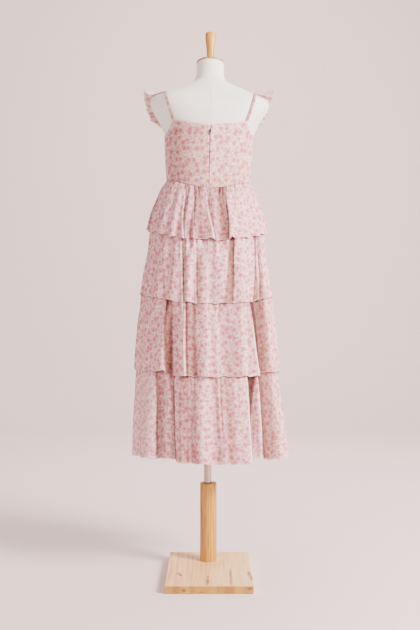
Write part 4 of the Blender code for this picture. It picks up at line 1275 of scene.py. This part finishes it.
def build_strap(name, side, body, cloth):
    """A narrow folded strap from the back corner over the shoulder to the front corner."""
    points, normals, outward = strap_frames(side, np.linspace(0.0, 1.0, 91))
    outline = [(-0.50, 0.25), (-0.47, 0.85), (-0.36, 1.05), (0.0, 0.95), (0.36, 1.05),
               (0.47, 0.85), (0.50, 0.25), (0.46, 0.0), (0.0, 0.0), (-0.46, 0.0)]
    grid = np.stack([points + outward * STRAP_WIDTH * reach + normals * (STRAP_GAP + CLOTH * lift)
                     for reach, lift in outline], axis=1)[:, ::-side]
    across = np.linspace(0.0, 0.018, len(outline))
    down = run_along(grid[:, 0])[:, None]
    # Painted shade on the strap's turned rims, and painted light that darkens the left strap and lightens
    # the right one.
    painted_rim_shade = np.array([-0.7 if abs(reach) > 0.4 else 0.0 for reach, _ in outline])
    values = [("fold", painted_rim_shade + STRAP_LIGHT[side])]
    strap = cloth_mesh(name + "_cloth", hang(grid), True, across, down, values)
    close_ends(strap, 60.0)
    place(strap, body, "printed_chiffon", cloth, name)


def build_ruffle(name, side, body, cloth, thread, stitch):
    """A fluttering ruffle on the outer edge of a strap, from the shoulder down the front."""
    ways = np.linspace(0.0, 1.0, RUFFLE_COLUMNS)
    shares = mix(RUFFLE[0].share, RUFFLE[-1].share, ways)
    points, normals, outward = strap_frames(side, shares)
    width = read(RUFFLE, "share", "width", shares)[:, None] * RUFFLE_REACH[side]
    lift = read(RUFFLE, "share", "lift", shares)[:, None]
    root = points + normals * (STRAP_GAP + CLOTH / 2.0) + outward * (STRAP_WIDTH / 2.0 + 1.6 * SEAM)
    phase = (2.0 * pi * RUFFLE_WAVES * ways + 0.9 * side)[:, None]
    reaches = np.concatenate([np.linspace(0.0, 0.94, 13), [0.955, 0.975, 1.0]])
    rows = []
    for reach in reaches:
        size = RUFFLE_WAVE_HEIGHT * (width / 0.06)
        wave = np.sin(phase) * size * reach
        frill = np.sin(phase * 2.7 + 1.3 * side) * size * 0.30 * reach ** 2
        pucker = np.sin(phase * 7.0) * 0.0006 * np.exp(-(reach / 0.25) ** 2) * min(1.0, reach * 12.0)
        roll = 0.0005 if 0.95 < reach < 0.99 else 0.0
        peak = RUFFLE_PEAKS[side] * np.exp(-((ways[:, None] - 0.05) / 0.040) ** 2) * reach ** 2
        height = width * reach * lift + np.abs(wave) * 0.4 + wave + frill + pucker + roll + peak
        rows.append(root + outward * width * reach + normals * height)
    grid = np.array(rows)[:, ::side]
    down = np.outer(reaches, width[::side])
    # Painted light: shade and highlight that follow the ruffle's waves, with the left ruffle lightened and
    # the right one slightly darkened.
    values = [("fold", np.outer(reaches, np.sin(phase)[::side]) * 0.36 + RUFFLE_LIGHT[side]),
              ("hem", reaches[:, None] > 0.95)]
    piece = cloth_mesh(name + "_cloth", hang(grid), False, run_along(grid[-1]), down, values)
    thicken(piece, CHIFFON)
    place(piece, body, "printed_chiffon", cloth, name)
    seam = grid[0] + np.array([0.0, 0.0, 0.0003])
    stitches = set_along(name + "_root_stitches", stitch, hang(seam), False, 0.0036,
                         (0.0004, 0.0004, 0.0024), thread, body)


# The zip
def build_zip(body, teeth_metal, block):
    """The row of small teeth that shows in the closed zip's slit."""
    heights = np.linspace(BODICE_WAIST_CENTRE + 0.001, ZIP_TOP, 60)
    depth = read(BODICE, "z", "back", heights)
    line = joined(0.0, 0.0002 - depth, heights)
    size = (0.0016, 0.0005, 0.0008)
    set_along("zip_coil", block, hang(line), False, 0.0016, size, teeth_metal, body, "zip_tape")


# Camera, light and floor
def set_camera_and_light():
    """Camera at the photograph's place and soft studio light."""
    lens = bpy.data.cameras.new("camera")
    lens.lens = 50.0
    lens.sensor_width = 36.0
    lens.clip_end = 60.0
    camera = add("camera", lens)
    camera.location = (0.0054, -2.804, 0.808)
    camera.rotation_euler = (radians(90.0), 0.0, 0.0)
    bpy.context.scene.camera = camera

    for name, spot, aim, size, power, tint in (
            ("key", (3.0, -2.05, 2.5), (0.0, 0.0, 0.8), 1.5, 600.0, (1.0, 0.945, 0.930)),
            ("fill", (-2.9, -2.1, 0.8), (0.0, 0.0, 0.6), 2.4, 44.0, (1.0, 0.98, 0.99)),
            ("rim", (0.6, 2.6, 2.6), (0.0, 0.0, 1.0), 2.0, 30.0, (1.0, 0.98, 0.97)),
            ("backdrop", (0.0, 1.6, 3.4), (0.0, 5.0, 1.2), 3.0, 130.0, (1.0, 0.98, 0.98))):
        light = bpy.data.lights.new(name, "AREA")
        light.shape = "DISK"
        light.size = size
        light.energy = power
        light.color = tint
        lamp = add(name, light)
        lamp.location = spot
        lamp.rotation_euler = (Vector(aim) - Vector(spot)).to_track_quat("-Z", "Y").to_euler()

    world = Shader(bpy.data.worlds.new("studio"), "Background")
    across, _, _ = world.parts(world.node("ShaderNodeTexCoord", out="Generated"))
    sideways = (abs(across) - 0.35) / 0.5
    world.feed(Color=world.mix(sideways, (1.22, 1.10, 1.09, 1.0), (0.62, 0.55, 0.54, 1.0)))
    bpy.context.scene.world = world.owner


def set_floor():
    """A pale floor that sweeps up behind."""
    profile = [(y, 0.0) for y in np.linspace(-9.0, 3.4, 16)]
    profile += [(3.4 + 1.6 * sin(a), 1.6 - 1.6 * cos(a)) for a in np.linspace(0.1, pi / 2.0, 14)]
    profile += [(5.0, z) for z in np.linspace(2.0, 9.0, 6)]
    points = [(x, y, z - 0.0002) for x in np.linspace(-9.0, 9.0, 3) for y, z in profile]
    long = len(profile)
    starts = [line * long + step for line in range(2) for step in range(long - 1)]
    faces = [(start, start + long, start + long + 1, start + 1) for start in starts]
    mesh = bpy.data.meshes.new("floor")
    mesh.from_pydata(points, [], faces)
    mesh.shade_smooth()
    finish = new_material("pale_floor")
    finish.fixed(Base_Color=linear(230, 208, 204), Roughness=0.9, Specular_IOR_Level=0.1)
    mesh.materials.append(finish.owner)
    add("floor", mesh)


def main():
    """The whole scene."""
    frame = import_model()
    nodes = frame["nodes"]
    body = "dress_on_form"

    lining = chiffon("printed_chiffon_lining", 0.0, 0.93, linear(230, 196, 182), linear(228, 188, 180))
    soft_ground = linear(238, 197, 193), linear(236, 190, 193)
    cloth = chiffon("printed_chiffon_sheer", 0.06, 0.93, *soft_ground)
    frill = chiffon("printed_chiffon_frill", 0.24, 0.84, linear(244, 222, 216), linear(242, 214, 210))
    cover = linen("linen_cover")
    thread = plain("pink_thread", linear(230, 186, 184), 0.6)
    tape = plain("zip_tape_rose", linear(62, 44, 42), 0.8)
    coil = plain("zip_coil_rose", linear(98, 68, 64), 0.45)
    metal = plain("zip_pull_metal", linear(92, 80, 78), 0.38, 0.9)
    beech = turned_wood("beech", linear(200, 148, 50), linear(146, 96, 26))
    pale_beech = turned_wood("pale_beech", linear(214, 156, 62), linear(174, 112, 38))
    cap_beech = turned_wood("cap_beech", linear(204, 136, 74), linear(164, 96, 44))
    finishes = {"stand_base": board("pine_board"), "stand_column": beech, "neck_cap": cap_beech,
                "neck_knob": pale_beech, "pole": drawn_steel("satin_steel"),
                "zip_slider": metal, "zip_pull": metal, "zip_teeth": tape}
    for name, finish in finishes.items():
        nodes[name].data.materials.clear()
        nodes[name].data.materials.append(finish)

    stitch = repeat_tree("stitch_row", "bead")
    block = repeat_tree("tooth_row", "block")
    set_camera_and_light()
    set_floor()
    build_torso(body, cover)
    build_bodice(body, lining, thread, stitch)
    build_skirt(body, cloth, thread, stitch)
    for name, side in (("left", -1), ("right", 1)):
        build_strap("strap_" + name, side, body, lining)
        build_ruffle("ruffle_" + name, side, body, frill, thread, stitch)
    build_zip(body, coil, block)


main()
